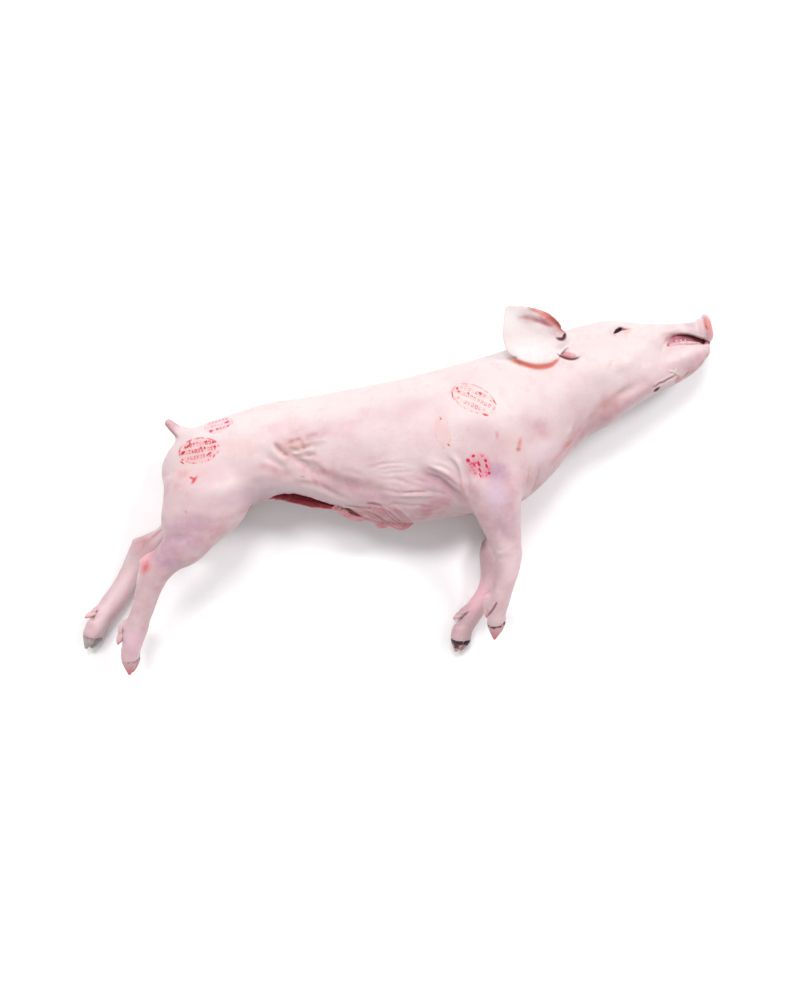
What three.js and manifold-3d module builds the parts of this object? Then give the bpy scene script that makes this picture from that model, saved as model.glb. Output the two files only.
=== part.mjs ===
// A dressed suckling pig lying on its left side, as one solid.
//
// Millimetres. +X runs along the back towards the snout, +Y from the belly to the back, and +Z up
// through the right flank, which is the side that shows. Every shape below is placed from the root
// of the tail; the finished solid is then centred over the origin, with its left side on z = 0.
//
// The carcass is built as a butcher would describe it: a trunk that runs on into neck, skull and
// snout, a lower jaw, four legs with their feet, two ears and a tail. Each is a loft: a row of
// ellipses along a path. They are joined into one solid, then the belly cut, the nostrils and the
// flat of the table are cut away.

import * as THREE from "three";
import { mergeVertices } from "three/addons/utils/BufferGeometryUtils.js";
import Module from "manifold-3d";

const wasm = await Module();
wasm.setup();

// ---------------------------------------------------------------- driving dimensions

const TABLE_SINK = 2.5; // how far soft flesh settles flat onto the table
const SPINE_LEVEL = 46; // the least height of a section's middle, as the spine is stiff

// The trunk from rump to snout. Each station is a section square to X:
// [x, the back's y, the belly's y, half the width across the ribs]
const TRUNK = [
  [-28, -34, -60, 14],
  [-23, -22, -76, 31],
  [-8, -7, -92, 43],
  [18, 4, -99, 50],
  [58, 9, -92, 50],
  [95, 12, -91, 47],
  [132, 9, -107, 48],
  [172, 7, -132, 52],
  [215, 5, -143, 56],
  [257, 5, -146, 58],
  [296, 6, -148, 59],
  [330, 8, -146, 57],
  [365, 12, -127, 52],
  [400, 15, -101, 48],
  [435, 17, -89, 47],
  [462, 15, -76, 44],
  [482, 9, -58, 37],
  [500, 3, -34, 29],
  [516, -1, -17, 23.5],
  [530, -3.6, -17.5, 21],
  [543, -5, -23.5, 19],
  [550, -3.4, -28, 19.5],
  [555.5, -0.6, -29.5, 21],
  [559, 0.2, -28.5, 19.5],
  [561.5, -5, -24, 14],
];

// The lower jaw, in the same terms: [x, the gum's y, the chin's y, half the width]
const JAW = [
  [418, -48, -84, 24],
  [430, -46, -91, 34],
  [456, -42, -81, 39],
  [480, -34, -72, 36],
  [500, -27, -67, 30],
  [517, -25, -63, 25],
  [533, -27, -57, 21],
  [546, -29, -49, 17],
  [554.5, -31, -39, 11],
];

// Tongue and gums, which close the mouth from inside, in the same terms
const TONGUE = [
  [486, -2, -46, 22],
  [504, -6, -42, 19],
  [522, -7, -38, 15],
  [538, -10, -38, 12],
  [546, -16, -36, 8],
];

// How high the middle of the head lies above the table, from the shoulders to the snout
const HEAD_DROOP = [
  [330, 54.5],
  [400, 46.5],
  [462, 43],
  [516, 39],
  [559, 37],
];

// Legs: [x, y, z, half the depth as seen from above, half the thickness]
const LEGS = {
  right_hind: [
    [24, -34, 62, 32, 24],
    [17, -66, 75, 46, 33],
    [-1, -96, 78, 36, 27],
    [-21, -112, 78, 23.5, 21],
    [-37, -121, 76, 16.5, 17],
    [-52, -129, 73, 16.5, 15],
    [-60.5, -139, 70, 15, 13],
    [-68.5, -151.5, 65, 12.8, 12],
    [-77, -166, 59.5, 11.6, 11.2],
    [-83, -174.5, 55.5, 11.4, 11.5],
    [-88.5, -183.5, 51.5, 12, 12.5],
    [-94.5, -193, 47, 11.4, 12.5],
    [-99.5, -203, 42, 9.8, 12],
    [-103, -210, 39, 8.6, 11.5],
  ],
  left_hind: [
    [22, -38, 30, 32, 20],
    [10, -68, 25, 43, 27],
    [-16, -92, 21, 30, 22],
    [-42, -101.5, 17, 15, 16],
    [-58, -105, 15.5, 14, 14.5],
    [-71, -110, 14.5, 14, 13.5],
    [-79, -117, 13.5, 11.8, 12],
    [-86, -125, 13, 10.8, 11.5],
    [-95.5, -137, 12.5, 11, 11.5],
    [-105, -147.3, 12.5, 11.6, 11.5],
    [-114, -155, 12.8, 11.8, 12.2],
    [-123, -163.5, 13, 10.8, 12.5],
    [-132, -172.5, 13, 9.6, 12.5],
    [-138.5, -179, 12.5, 8.8, 12],
  ],
  right_fore: [
    [303, -74, 80, 32, 20],
    [303, -108, 88, 37, 22],
    [301, -131, 89, 29.5, 21],
    [301, -154, 86, 23, 18.5],
    [301.5, -181, 78, 16.8, 15],
    [300.8, -198, 73, 14.4, 13.5],
    [296.5, -213.5, 68, 12, 12],
    [289, -227.5, 63.5, 11.2, 11.5],
    [282, -240.5, 58.5, 11.4, 12],
    [279, -249, 55, 9.8, 12],
    [276, -257, 52, 8.6, 11.5],
  ],
  left_fore: [
    [300, -76, 28, 34, 20],
    [302, -115, 25, 31, 20],
    [300, -145, 21, 21, 18],
    [294.5, -170, 18.5, 15.5, 15.5],
    [288, -190, 17, 13, 13.5],
    [284, -205, 16, 11.4, 12.5],
    [280, -218.5, 15, 10.2, 11.5],
    [274.5, -229, 14.5, 9.8, 11],
    [266.5, -238, 14, 9.8, 11.2],
    [257.7, -246.3, 13.8, 10.6, 12],
    [249.7, -254.4, 13.5, 10.2, 12.2],
    [241.5, -264, 13, 9, 12],
    [237, -269.5, 12.5, 8.4, 11.5],
  ],
};

// The heel bone that stands out behind each hock, in the same terms
const HOCKS = {
  right_hind: [
    [-46, -121, 74, 9, 10],
    [-57, -120.5, 74, 8.5, 9.5],
    [-64, -119.8, 73, 5.5, 7.5],
    [-68, -119, 72.5, 2.6, 4],
  ],
  left_hind: [
    [-60, -104, 15.5, 9, 10],
    [-69, -100, 15.5, 7.5, 9],
    [-75, -97, 15, 4.8, 7],
    [-78, -95.5, 15, 2.4, 4],
  ],
};

// Feet: how far each is rolled about its own axis, in degrees, the point between the tips of its
// two claws, and the root and tip of each dew claw. A rolled foot shows both claws from above.
const FEET = {
  right_hind: {
    roll: 14,
    tip: [-107.5, -230, 34],
    dewClaws: [
      [-97, -174, 56, -112.8, -195.3, 50.5],
      [-99, -178, 45, -110.5, -198, 42],
    ],
  },
  left_hind: {
    roll: 30,
    tip: [-149, -195.5, 8.5],
    dewClaws: [
      [-122, -155, 13, -143.8, -162, 14],
      [-121, -158, 20, -138.5, -165.6, 23],
    ],
  },
  right_fore: {
    roll: 20,
    tip: [271, -278.5, 44],
    dewClaws: [
      [273.5, -232, 62, 265.4, -254.8, 57],
      [275, -235, 50, 268.5, -256, 47],
    ],
  },
  left_fore: {
    roll: 38,
    tip: [230.5, -286, 8.5],
    dewClaws: [
      [251, -243.5, 15, 232.6, -250.8, 17],
      [253, -246.5, 21, 240.4, -253.2, 24],
    ],
  },
};
// A claw's sections: [how far along it, half its depth, half its breadth]
const CLAW = [
  [-0.5, 6.8, 4.8],
  [-0.1, 8.2, 5.5],
  [0.25, 7.8, 5.1],
  [0.6, 5.4, 3.9],
  [1, 1.4, 1.5],
];
const CLAW_SPACING = 5.8; // from the foot's middle to each claw's root
const CLAW_TIP_SPACING = 4.4; // and to its tip
const DEW_CLAW = [
  [0, 3.2, 3.2],
  [0.4, 3.9, 3.9],
  [0.75, 3.2, 3.2],
  [1, 0.9, 0.9],
];

// The tail: [x, y, z, half depth, half thickness]
const TAIL = [
  [8, -6, 50, 11, 12],
  [-1, 2, 51, 7.4, 8],
  [-6, 8, 53, 5.2, 5.6],
  [-10, 14, 55, 4.2, 4.4],
  [-12, 18, 56, 3.2, 3.3],
];

// Ears. The rim as points [x, y, z], anticlockwise from the forehead, the middle of the sheet, and
// the stub of gristle that joins it to the head, as a limb.
const EAR_THICKNESS = 4.2;
const RIGHT_EAR = {
  rim: [
    [409, 4, 84],
    [404, 20, 91],
    [391, 36, 95],
    [373, 47, 94],
    [356, 50, 91],
    [347, 34, 89],
    [345, 14, 89],
    [352, -4, 91],
    [367, -14, 94],
    [385, -16, 94],
    [400, -9, 88],
  ],
  middle: [378, 14, 86],
  stub: [
    [409, -5, 62, 13, 10],
    [404, 3, 76, 12, 9],
    [396, 7, 86, 11, 3],
  ],
};
// The left ear is the right one folded down onto the table and drawn in under the head.
const LEFT_EAR_SIZE = 0.8;
const LEFT_EAR_LEVEL = 2.1;
const LEFT_EAR_STUB = [
  [409, -5, 30, 12, 10],
  [404, 2, 15, 11, 8],
  [396, 6, 4, 11, 2.5],
];

// The belly cut: [x, y, z, how deep it reaches, half its gape]
const BELLY_CUT = [
  [74, -82, 60, 5, 1.2],
  [88, -86, 61, 30, 6],
  [112, -95, 62, 44, 9],
  [138, -109, 62, 46, 8],
  [162, -124, 60, 34, 5],
  [182, -136, 59, 8, 1.2],
];
const CUT_TILT = THREE.MathUtils.degToRad(-24); // the cut's mouth is turned this far upwards

// A nostril's middle, how far it is from the snout's middle, and its half sizes
const NOSTRIL = { x: 563, y: -15, offset: 8.2, depth: 9, high: 4.2, wide: 3.4 };

// ---------------------------------------------------------------- lofts

// A smooth curve through rows of numbers, taken three at a time, as a function of 0..1.
function through(rows) {
  const triples = [];
  for (let k = 0; k < rows[0].length; k += 3) {
    const points = rows.map((r) => new THREE.Vector3(r[k] ?? 0, r[k + 1] ?? 0, r[k + 2] ?? 0));
    triples.push(new THREE.CatmullRomCurve3(points, false, "catmullrom", 0.5));
  }
  return (t) => triples.flatMap((curve) => curve.getPoint(t).toArray()).slice(0, rows[0].length);
}

// The value at x between [x, value] pairs, held level past either end.
function heightAt(pairs, x) {
  const last = pairs.length - 1;
  if (x <= pairs[0][0]) return pairs[0][1];
  if (x >= pairs[last][0]) return pairs[last][1];
  const i = pairs.findIndex((p) => p[0] > x) - 1;
  const t = (x - pairs[i][0]) / (pairs[i + 1][0] - pairs[i][0]);
  return THREE.MathUtils.lerp(pairs[i][1], pairs[i + 1][1], t);
}

// A closed skin over rings of points, each end drawn together to the middle of its ring.
function skin(rings) {
  const around = rings[0].length;
  const points = rings.flat();
  const index = [];
  for (let r = 0; r + 1 < rings.length; r++) {
    for (let k = 0; k < around; k++) {
      const a = r * around + k;
      const b = r * around + ((k + 1) % around);
      index.push(a, b, a + around, b, b + around, a + around);
    }
  }
  const middle = (ring) => ring.reduce((sum, p) => sum.add(p), new THREE.Vector3()).divideScalar(around);
  points.push(middle(rings[0]), middle(rings[rings.length - 1]));
  const tail = points.length - 2;
  const nose = points.length - 1;
  const lastRing = (rings.length - 1) * around;
  for (let k = 0; k < around; k++) {
    const next = (k + 1) % around;
    index.push(tail, next, k);
    index.push(nose, lastRing + k, lastRing + next);
  }
  const geometry = new THREE.BufferGeometry().setFromPoints(points);
  geometry.setIndex(index);
  return geometry;
}

// An ellipse of points round a centre, with its half sizes along two directions.
function ellipse(centre, side, up, halfSide, halfUp, around) {
  return Array.from({ length: around }, (_, k) => {
    const turn = (2 * Math.PI * k) / around;
    return centre
      .clone()
      .addScaledVector(side, halfSide * Math.cos(turn))
      .addScaledVector(up, halfUp * Math.sin(turn));
  });
}

const UP = new THREE.Vector3(0, 0, 1);

// A loft of ellipses along a path that lies roughly level, each square to the path.
function limb(stations, around, steps, tilt = 0) {
  const at = through(stations);
  const rings = [];
  for (let s = 0; s <= steps; s++) {
    const t = s / steps;
    const [x, y, z, halfSide, halfUp] = at(t);
    const ahead = new THREE.Vector3(...at(Math.min(1, t + 0.01)).slice(0, 3));
    const behind = new THREE.Vector3(...at(Math.max(0, t - 0.01)).slice(0, 3));
    const along = ahead.sub(behind).normalize();
    const side = new THREE.Vector3().crossVectors(UP, along).normalize().applyAxisAngle(along, tilt);
    const up = new THREE.Vector3().crossVectors(along, side);
    rings.push(ellipse(new THREE.Vector3(x, y, z), side, up, halfSide, halfUp, around));
  }
  return skin(rings);
}

// A loft of ellipses square to X, from [x, upper y, lower y, half width] stations.
function barrel(stations, around, steps) {
  const at = through(stations);
  const rings = [];
  for (let s = 0; s <= steps; s++) {
    const [x, back, belly, halfWidth] = at(s / steps);
    const lying = Math.max(halfWidth - TABLE_SINK, SPINE_LEVEL);
    const level = x < HEAD_DROOP[0][0] ? lying : heightAt(HEAD_DROOP, x);
    const centre = new THREE.Vector3(x, (back + belly) / 2, level);
    const side = new THREE.Vector3(0, 1, 0);
    rings.push(ellipse(centre, side, UP, (back - belly) / 2, halfWidth, around));
  }
  return skin(rings);
}

// ---------------------------------------------------------------- feet, ears and openings

// A claw from a root along a heading, from its table of sections.
function claw(sections, { root, heading, front, across, length, around }) {
  const rings = sections.map(([reach, halfFront, halfAcross]) => {
    const centre = root.clone().addScaledVector(heading, reach * length);
    return ellipse(centre, front, across, halfFront, halfAcross, around);
  });
  return skin(rings);
}

// Two claws and two dew claws at the end of a leg.
function foot(stations, { roll, tip, dewClaws }) {
  const end = new THREE.Vector3(...stations.at(-1));
  const point = new THREE.Vector3(...tip);
  const along = point.clone().sub(end).normalize();
  const front = new THREE.Vector3().crossVectors(UP, along).normalize();
  front.applyAxisAngle(along, THREE.MathUtils.degToRad(roll));
  const across = new THREE.Vector3().crossVectors(along, front);
  const between = (section, root, top, around) => {
    const heading = top.clone().sub(root);
    const length = heading.length();
    heading.normalize();
    return claw(section, { root, heading, front, across, length, around });
  };
  const toes = [-1, 1].map((hand) => {
    const root = end.clone().addScaledVector(across, CLAW_SPACING * hand);
    return between(CLAW, root, point.clone().addScaledVector(across, CLAW_TIP_SPACING * hand), 10);
  });
  const dewToes = dewClaws.map((row) => {
    const root = new THREE.Vector3(...row);
    return between(DEW_CLAW, root, new THREE.Vector3(...row.slice(3)), 7);
  });
  return [...toes, ...dewToes];
}

// An ear: a cupped sheet inside its rim, thinning towards it, with both faces closed round the rim.
function ear({ rim, middle, stub }) {
  const around = 26;
  const edge = new THREE.CatmullRomCurve3(rim.map((p) => new THREE.Vector3(...p)), true, "catmullrom", 0.5);
  const edgePoints = edge.getPoints(around).slice(0, around);
  const centre = new THREE.Vector3(...middle);
  const ring = (reach, face) =>
    edgePoints.map((edgePoint) => {
      const point = centre.clone().lerp(edgePoint, reach);
      const cup = (edgePoint.z - centre.z) * reach * (reach - 1);
      const half = (EAR_THICKNESS / 2) * Math.sqrt(1 - 0.8 * reach ** 4);
      point.z += cup + face * half;
      return point;
    });
  const inwards = [0.93, 0.75, 0.45, 0.15];
  const under = [...inwards].reverse().map((reach) => ring(reach, -1));
  const top = inwards.map((reach) => ring(reach, 1));
  return [skin([...under, ring(1, 0), ...top]), limb(stub, 12, 5)];
}

// The ear on the side that lies down: the other ear's outline, smaller and flat on the table.
function flattened({ rim, middle }) {
  const [rootX, rootY] = LEFT_EAR_STUB[1];
  const lay = ([x, y]) => [
    rootX + (x - rootX) * LEFT_EAR_SIZE,
    rootY + (y - rootY) * LEFT_EAR_SIZE,
    LEFT_EAR_LEVEL,
  ];
  return { rim: rim.map(lay), middle: lay(middle), stub: LEFT_EAR_STUB };
}

// The two nostrils, as plugs to be cut out of the snout's disc.
function nostrils() {
  return [-1, 1].map((hand) => {
    const level = heightAt(HEAD_DROOP, NOSTRIL.x) + NOSTRIL.offset * hand;
    const plug = new THREE.SphereGeometry(1, 10, 6);
    plug.scale(NOSTRIL.depth, NOSTRIL.high, NOSTRIL.wide);
    plug.translate(NOSTRIL.x, NOSTRIL.y, level);
    return plug;
  });
}

// ---------------------------------------------------------------- the carcass

// A geometry as a solid that can be joined and cut.
function solid(geometry) {
  const bare = new THREE.BufferGeometry();
  bare.setAttribute("position", geometry.getAttribute("position"));
  bare.setIndex(geometry.index);
  const merged = mergeVertices(bare, 1e-3);
  const vertProperties = merged.attributes.position.array;
  const triVerts = new Uint32Array(merged.index.array);
  return new wasm.Manifold(new wasm.Mesh({ numProp: 3, vertProperties, triVerts }));
}

// A solid as a geometry that three.js can draw.
function geometryOf(made) {
  const mesh = made.getMesh();
  const geometry = new THREE.BufferGeometry();
  geometry.setAttribute("position", new THREE.BufferAttribute(mesh.vertProperties, mesh.numProp));
  geometry.setIndex(new THREE.BufferAttribute(mesh.triVerts, 1));
  geometry.computeVertexNormals();
  return geometry;
}

function carcass() {
  const pieces = [barrel(TRUNK, 30, 43), barrel(JAW, 18, 13), barrel(TONGUE, 12, 6), limb(TAIL, 10, 8)];
  for (const [name, stations] of Object.entries(LEGS)) {
    pieces.push(limb(stations, 14, 18), ...foot(stations, FEET[name]));
  }
  pieces.push(...Object.values(HOCKS).map((stations) => limb(stations, 8, 4)));
  pieces.push(...ear(RIGHT_EAR), ...ear(flattened(RIGHT_EAR)));

  const table = new THREE.BoxGeometry(2000, 2000, 100);
  table.translate(0, 0, -50);
  const cuts = [limb(BELLY_CUT, 12, 12, CUT_TILT), ...nostrils(), table];

  const joined = pieces.map(solid).reduce((whole, piece) => whole.add(piece));
  return cuts.map(solid).reduce((whole, cut) => whole.subtract(cut), joined);
}

const body = geometryOf(carcass());
body.computeBoundingBox();
const middle = body.boundingBox.getCenter(new THREE.Vector3());
body.translate(-middle.x, -middle.y, -body.boundingBox.min.z);

const pigskin = new THREE.MeshStandardMaterial({ color: 0xf0cfca, roughness: 0.45, metalness: 0 });
const pig = new THREE.Mesh(body, pigskin);
pig.name = "suckling_pig";

const group = new THREE.Group();
group.add(pig);
export default group;
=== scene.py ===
"""A dressed suckling pig lying on its left side on a pale table.

The tables are in millimetres from the root of the tail: +X towards the snout, +Y from the belly to
the back, +Z up through the right flank. `to_frame` turns such points into the frame's metres.

The skin is made as a butcher would see it: trunk, jaw, cheek, legs, tail and ears are lofts, joined
by a voxel remesh and eased into each other, and then folds, muscles, eyes, nostrils and ear ridges
are pressed into it. Claws, eyes, gums, teeth and the shreds of the belly cut are pieces of their own.
"""

import math

import bmesh
import bpy
import mathutils
import numpy as np
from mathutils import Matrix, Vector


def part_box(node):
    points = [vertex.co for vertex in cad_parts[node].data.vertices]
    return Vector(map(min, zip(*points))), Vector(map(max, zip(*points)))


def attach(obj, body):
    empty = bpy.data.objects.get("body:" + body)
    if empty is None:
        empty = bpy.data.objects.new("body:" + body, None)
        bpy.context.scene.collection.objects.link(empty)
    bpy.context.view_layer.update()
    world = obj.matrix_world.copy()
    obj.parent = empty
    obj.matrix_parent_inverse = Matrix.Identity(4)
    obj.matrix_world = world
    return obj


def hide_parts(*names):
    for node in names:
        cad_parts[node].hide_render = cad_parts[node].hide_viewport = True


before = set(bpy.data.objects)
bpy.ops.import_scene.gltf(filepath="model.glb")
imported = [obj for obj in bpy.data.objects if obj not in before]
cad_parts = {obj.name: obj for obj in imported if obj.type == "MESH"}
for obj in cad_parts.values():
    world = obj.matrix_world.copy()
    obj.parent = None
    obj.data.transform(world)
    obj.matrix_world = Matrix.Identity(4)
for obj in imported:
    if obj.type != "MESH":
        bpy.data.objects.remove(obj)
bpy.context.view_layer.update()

CAD_NODE = "suckling_pig"
LOW, HIGH = (np.array(corner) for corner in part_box(CAD_NODE))

# ---- sizes and places, in mm

MM = 0.001
HIND_REACH = 152.5  # how far the hind claws lie behind the root of the tail
EAR_TOP = 50.7  # how far the ear stands out past the root of the tail
ORIGIN = np.array([LOW[0] / MM + HIND_REACH, HIGH[1] / MM - EAR_TOP, 0.0])

VOXEL = 2.5
SKIN_TRIANGLES = 188000
RIM_SLOTS = 110  # directions in which the ear's edge is drawn smooth
RIM_BREADTH = 0.18  # how much of the ear's reach is drawn out
TABLE_SINK = 2.5  # how far the belly's sections would go under the table, so that they lie on it
SPINE_LEVEL = 46.0  # the lowest that their middle lies
TABLE_ROUNDING = 1.2  # how softly the skin's under side turns into its sides
FILL_STRENGTH = 0.9  # share of a hollow that one round of filling fills
FILL_ROUNDS = 60
TURN = 2 * math.pi

# trunk, cheek and jaw: [x, the back's y, the belly's y, half the width across the ribs]
TRUNK = [
    [-28, -34, -60, 14],
    [-23, -22, -76, 31],
    [-8, -7, -92, 43],
    [18, 4, -96, 50],
    [58, 9, -87, 50],
    [95, 12, -92.5, 47],
    [132, 9, -107, 48],
    [172, 7, -132, 52],
    [215, 5, -143, 56],
    [257, 5, -146, 58],
    [296, 6, -148, 59],
    [330, 8, -146, 57],
    [365, 12, -127, 52],
    [400, 15, -101, 48],
    [435, 17, -89, 47],
    [462, 15, -76, 44],
    [482, 9, -58, 37],
    [500, 3, -34, 29],
    [516, -1, -17, 23.5],
    [530, -3.6, -17.5, 21],
    [543, -5, -23.5, 19],
    [550, -3.4, -28, 19.5],
    [555.5, -0.6, -29.5, 21],
    [559, 0.2, -28.5, 19.5],
    [561.5, -5, -24, 14],
]
CHEEK = [
    [405, -22, -80, 36],
    [435, -14, -88, 45],
    [462, -12, -78, 42.5],
    [484, -14, -68, 36.5],
    [499, -22, -60, 29.5],
    [507, -32, -52, 22],
]
JAW = [
    [418, -48, -84, 24],
    [430, -46, -91, 34],
    [456, -42, -81, 39],
    [480, -32, -72, 36],
    [500, -22, -67, 30],
    [517, -17, -63, 25],
    [533, -19, -57, 21],
    [546, -24, -49, 17],
    [554.5, -29, -39, 11],
]
# how high the middle of the neck's and the head's sections lies: [x, z]
HEAD_DROOP = [[330, 54.5], [400, 46.5], [462, 43], [516, 39], [559, 37]]

SNOUT_LEVEL = 37  # height of the middle of the snout's disc

# legs: [x, y, z, half the depth as seen from above, half the thickness]
LEGS = {
    "right_hind": [
        [24, -34, 62, 32, 24],
        [15.6, -64.6, 75, 45.8, 33],
        [-6.3, -93, 78, 34.3, 27],
        [-21, -112, 78, 23.5, 21],
        [-37, -121, 76, 16.5, 17],
        [-52, -129, 73, 16.5, 15],
        [-60.5, -139, 70, 15, 13],
        [-68.5, -151.5, 65, 12.8, 12],
        [-77, -166, 59.5, 11.6, 11.2],
        [-83, -174.5, 55.5, 11.4, 11.5],
        [-88.5, -183.5, 51.5, 12, 12.5],
        [-94.5, -193, 47, 11.4, 12.5],
        [-99.5, -203, 42, 9.8, 12],
        [-103, -210, 39, 8.6, 11.5],
    ],
    "left_hind": [
        [22, -38, 30, 32, 20],
        [10, -68, 25, 43, 27],
        [-16, -92, 21, 30, 22],
        [-42, -101.5, 17, 15, 16],
        [-58, -105, 15.5, 14, 14.5],
        [-71, -110, 14.5, 14, 13.5],
        [-79, -117, 13.5, 11.8, 12],
        [-86, -125, 13, 10.8, 11.5],
        [-95.5, -137, 12.5, 11, 11.5],
        [-105, -147.3, 12.5, 11.6, 11.5],
        [-114, -155, 12.8, 11.8, 12.2],
        [-123, -163.5, 13, 10.8, 12.5],
        [-132, -172.5, 13, 9.6, 12.5],
        [-138.5, -179, 12.5, 8.8, 12],
    ],
    "right_fore": [
        [303, -74, 80, 32, 20],
        [303, -108, 88, 37, 22],
        [301, -131, 89, 29.5, 21],
        [301, -154, 86, 23, 18.5],
        [301.5, -181, 78, 16.8, 15],
        [300.8, -198, 73, 14.4, 13.5],
        [296.5, -213.5, 68, 12, 12],
        [289, -227.5, 63.5, 11.2, 11.5],
        [282, -240.5, 58.5, 11.4, 12],
        [279, -249, 55, 9.8, 12],
        [276, -257, 52, 8.6, 11.5],
    ],
    "left_fore": [
        [300, -76, 28, 34, 20],
        [302, -115, 25, 31, 20],
        [303, -145, 21, 21, 18],
        [303, -163, 18.5, 14.5, 15.5],
        [299, -177, 17.5, 12.5, 14],
        [290, -188.5, 17, 13.2, 13.5],
        [286, -198, 16.5, 12.8, 13],
        [282.5, -209, 15.6, 10.8, 12],
        [279, -220, 15, 10, 11.5],
        [274, -229.5, 14.5, 9.8, 11],
        [266.5, -238, 14, 9.8, 11.2],
        [257.7, -246.3, 13.8, 10.6, 12],
        [249.7, -254.4, 13.5, 10.2, 12.2],
        [241.5, -264, 13, 9, 12],
        [237, -269.5, 12.5, 8.4, 11.5],
    ],
}
# the heel bone that stands out behind each hock, in the same terms
HOCKS = {
    "right_hind": [
        [-46, -121, 74, 9, 10],
        [-57, -120.5, 74, 8.5, 9.5],
        [-64, -119.8, 73, 5.5, 7.5],
        [-68, -119, 72.5, 2.6, 4],
    ],
    "left_hind": [
        [-60, -104, 15.5, 9, 10],
        [-69, -100, 15.5, 7.5, 9],
        [-75, -97, 15, 4.8, 7],
        [-78, -95.5, 15, 2.4, 4],
    ],
}
# feet: roll about their own axis in degrees, the point between the tips of the claws, the root and tip
# of each dew claw, and how dark the coronet and how red the tip of the horn is
FEET = {
    "right_hind": {
        "roll": 14,
        "tip": [-107.5, -230, 34],
        "dews": [[-98, -175, 53, -112, -197, 49], [-97, -175, 39, -111, -196, 37]],
        "coronet": (0.85, 0.34),
        "red": 1.0,
    },
    "left_hind": {
        "roll": 30,
        "tip": [-149, -195.5, 8.5],
        "dews": [[-122, -156, 19, -143.4, -163.4, 21], [-121, -155, 8, -141, -162, 7]],
        "coronet": (0.3, 0.5),
        "red": 0.0,
    },
    "right_fore": {
        "roll": 20,
        "tip": [271, -278.5, 44],
        "dews": [[273, -231, 61, 266, -255.4, 55], [274, -233, 47, 267, -255, 43]],
        "coronet": (0.9, 0.4),
        "red": 0.8,
    },
    "left_fore": {
        "roll": 38,
        "tip": [230.5, -286, 8.5],
        "dews": [[252, -243, 20, 232.8, -251.6, 22], [252, -243, 9, 235, -251, 8]],
        "coronet": (1.0, 0.7),
        "red": 0.5,
    },
}
CLAW_SPACING = 5.8  # from the foot's middle to each claw's root
CLAW_TIP_SPACING = 4.4  # and to its tip

TAIL = [
    [9.5, -5.5, 50, 10.5, 12],
    [0.4, 2.4, 51, 7.4, 8],
    [-4.8, 8, 53, 5.7, 5.9],
    [-7.3, 12, 55, 5.0, 5.2],
    [-8.5, 14.6, 56, 4.7, 4.8],
    [-9.2, 16.8, 56, 4.0, 4.0],
    [-9.6, 18.4, 56, 2.6, 2.6],
    [-9.8, 19.1, 56, 1.2, 1.2],
]

EAR_THICKNESS = 4.6
EAR_MIDDLE = [378, 14]
RIGHT_EAR = {
    "rim": [
        [410, 3, 76],
        [409, 11, 82],
        [406, 18.4, 87],
        [397.2, 32.4, 93],
        [382, 42, 95],
        [367, 48.5, 93.5],
        [355, 49.5, 91.5],
        [348.5, 34, 89.5],
        [344.8, 17, 89],
        [347.5, 2.5, 90],
        [357.5, -8, 92.5],
        [372, -14.5, 94],
        [388, -14.5, 92],
        [399.5, -9, 84],
        [409, -4, 75],
    ],
    "middle": [*EAR_MIDDLE, 86],
    "stub": [[409, -5, 62, 13, 10], [404, 3, 76, 12, 9], [396, 7, 86, 11, 3]],
}
LEFT_EAR_SIZE = 0.8
LEFT_EAR_LEVEL = 2.6
LEFT_EAR_STUB = [[409, -5, 30, 12, 10], [404, 2, 15, 11, 8], [396, 6, 4, 11, 2.5]]

# the belly cut: [x, y, z, how deep it reaches, half its gape]
BELLY_CUT = [
    [78, -83.5, 60, 5, 1.2],
    [87, -86, 61, 28, 6.5],
    [98, -90.5, 61, 38, 9],
    [110, -97, 60, 42, 8.5],
    [122, -104, 59, 40, 6],
    [138, -111, 58, 34, 4],
    [158, -122, 58, 24, 2.5],
    [176, -133, 58, 8, 1.2],
]
# its lips as seen from above: [x, the upper's y, the lower's y]
CUT_LIPS = [
    [80, -84.3, -84.6],
    [87, -83.4, -88.5],
    [98, -85.8, -94.8],
    [108, -90.3, -99.4],
    [117, -97.1, -103.2],
    [126, -103.4, -106.3],
    [137, -107.4, -108.8],
    [144, -110.3, -111],
]
CUT_TILT = math.radians(-24)

# the mouth's opening: [x, y, z, half its height, half its reach from side to side]
MOUTH = [
    [508.5, -24.8, 38, 0.4, 42],
    [514, -22.8, 38, 1.9, 42],
    [519, -20.8, 38, 4.2, 42],
    [523, -20.4, 38, 5.2, 42],
    [528, -21.0, 38, 5.4, 42],
    [534, -22.4, 38, 5.1, 42],
    [540, -24.4, 38, 4.3, 42],
    [546, -26.9, 38, 3.2, 42],
    [552, -29.4, 38, 2.0, 42],
    [557, -31.5, 38, 1.0, 42],
    [564, -33.8, 38, 0.8, 42],
]

# ---- small maths


def to_frame(points):
    """Points in mm from the tail's root as metres in the frame."""
    return (np.asarray(points, float) + ORIGIN) * MM


def smooth(x, low, high):
    """0 below low, 1 above high, and 3s^2 - 2s^3 between; low may be the larger."""
    s = np.clip((x - low) / (high - low), 0.0, 1.0)
    return s * s * (3.0 - 2.0 * s)


def cubic(a, b, c, d, f):
    """Catmull-Rom: the cubic from b to c whose slope at each is half the chord across it."""
    bend = 2 * a - 5 * b + 4 * c - d
    twist = 3 * b - 3 * c + d - a
    return 0.5 * (2 * b + (c - a) * f + bend * f**2 + twist * f**3)


def spline(rows, t):
    """A smooth curve through rows of numbers, at each t in 0..1."""
    rows = np.asarray(rows, float)
    padded = np.vstack([2 * rows[0] - rows[1], rows, 2 * rows[-1] - rows[-2]])
    place = np.clip(t, 0.0, 1.0) * (len(rows) - 1)
    i = np.minimum(place.astype(int), len(rows) - 2)
    return cubic(*(padded[i + k] for k in range(4)), (place - i)[:, None])


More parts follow.
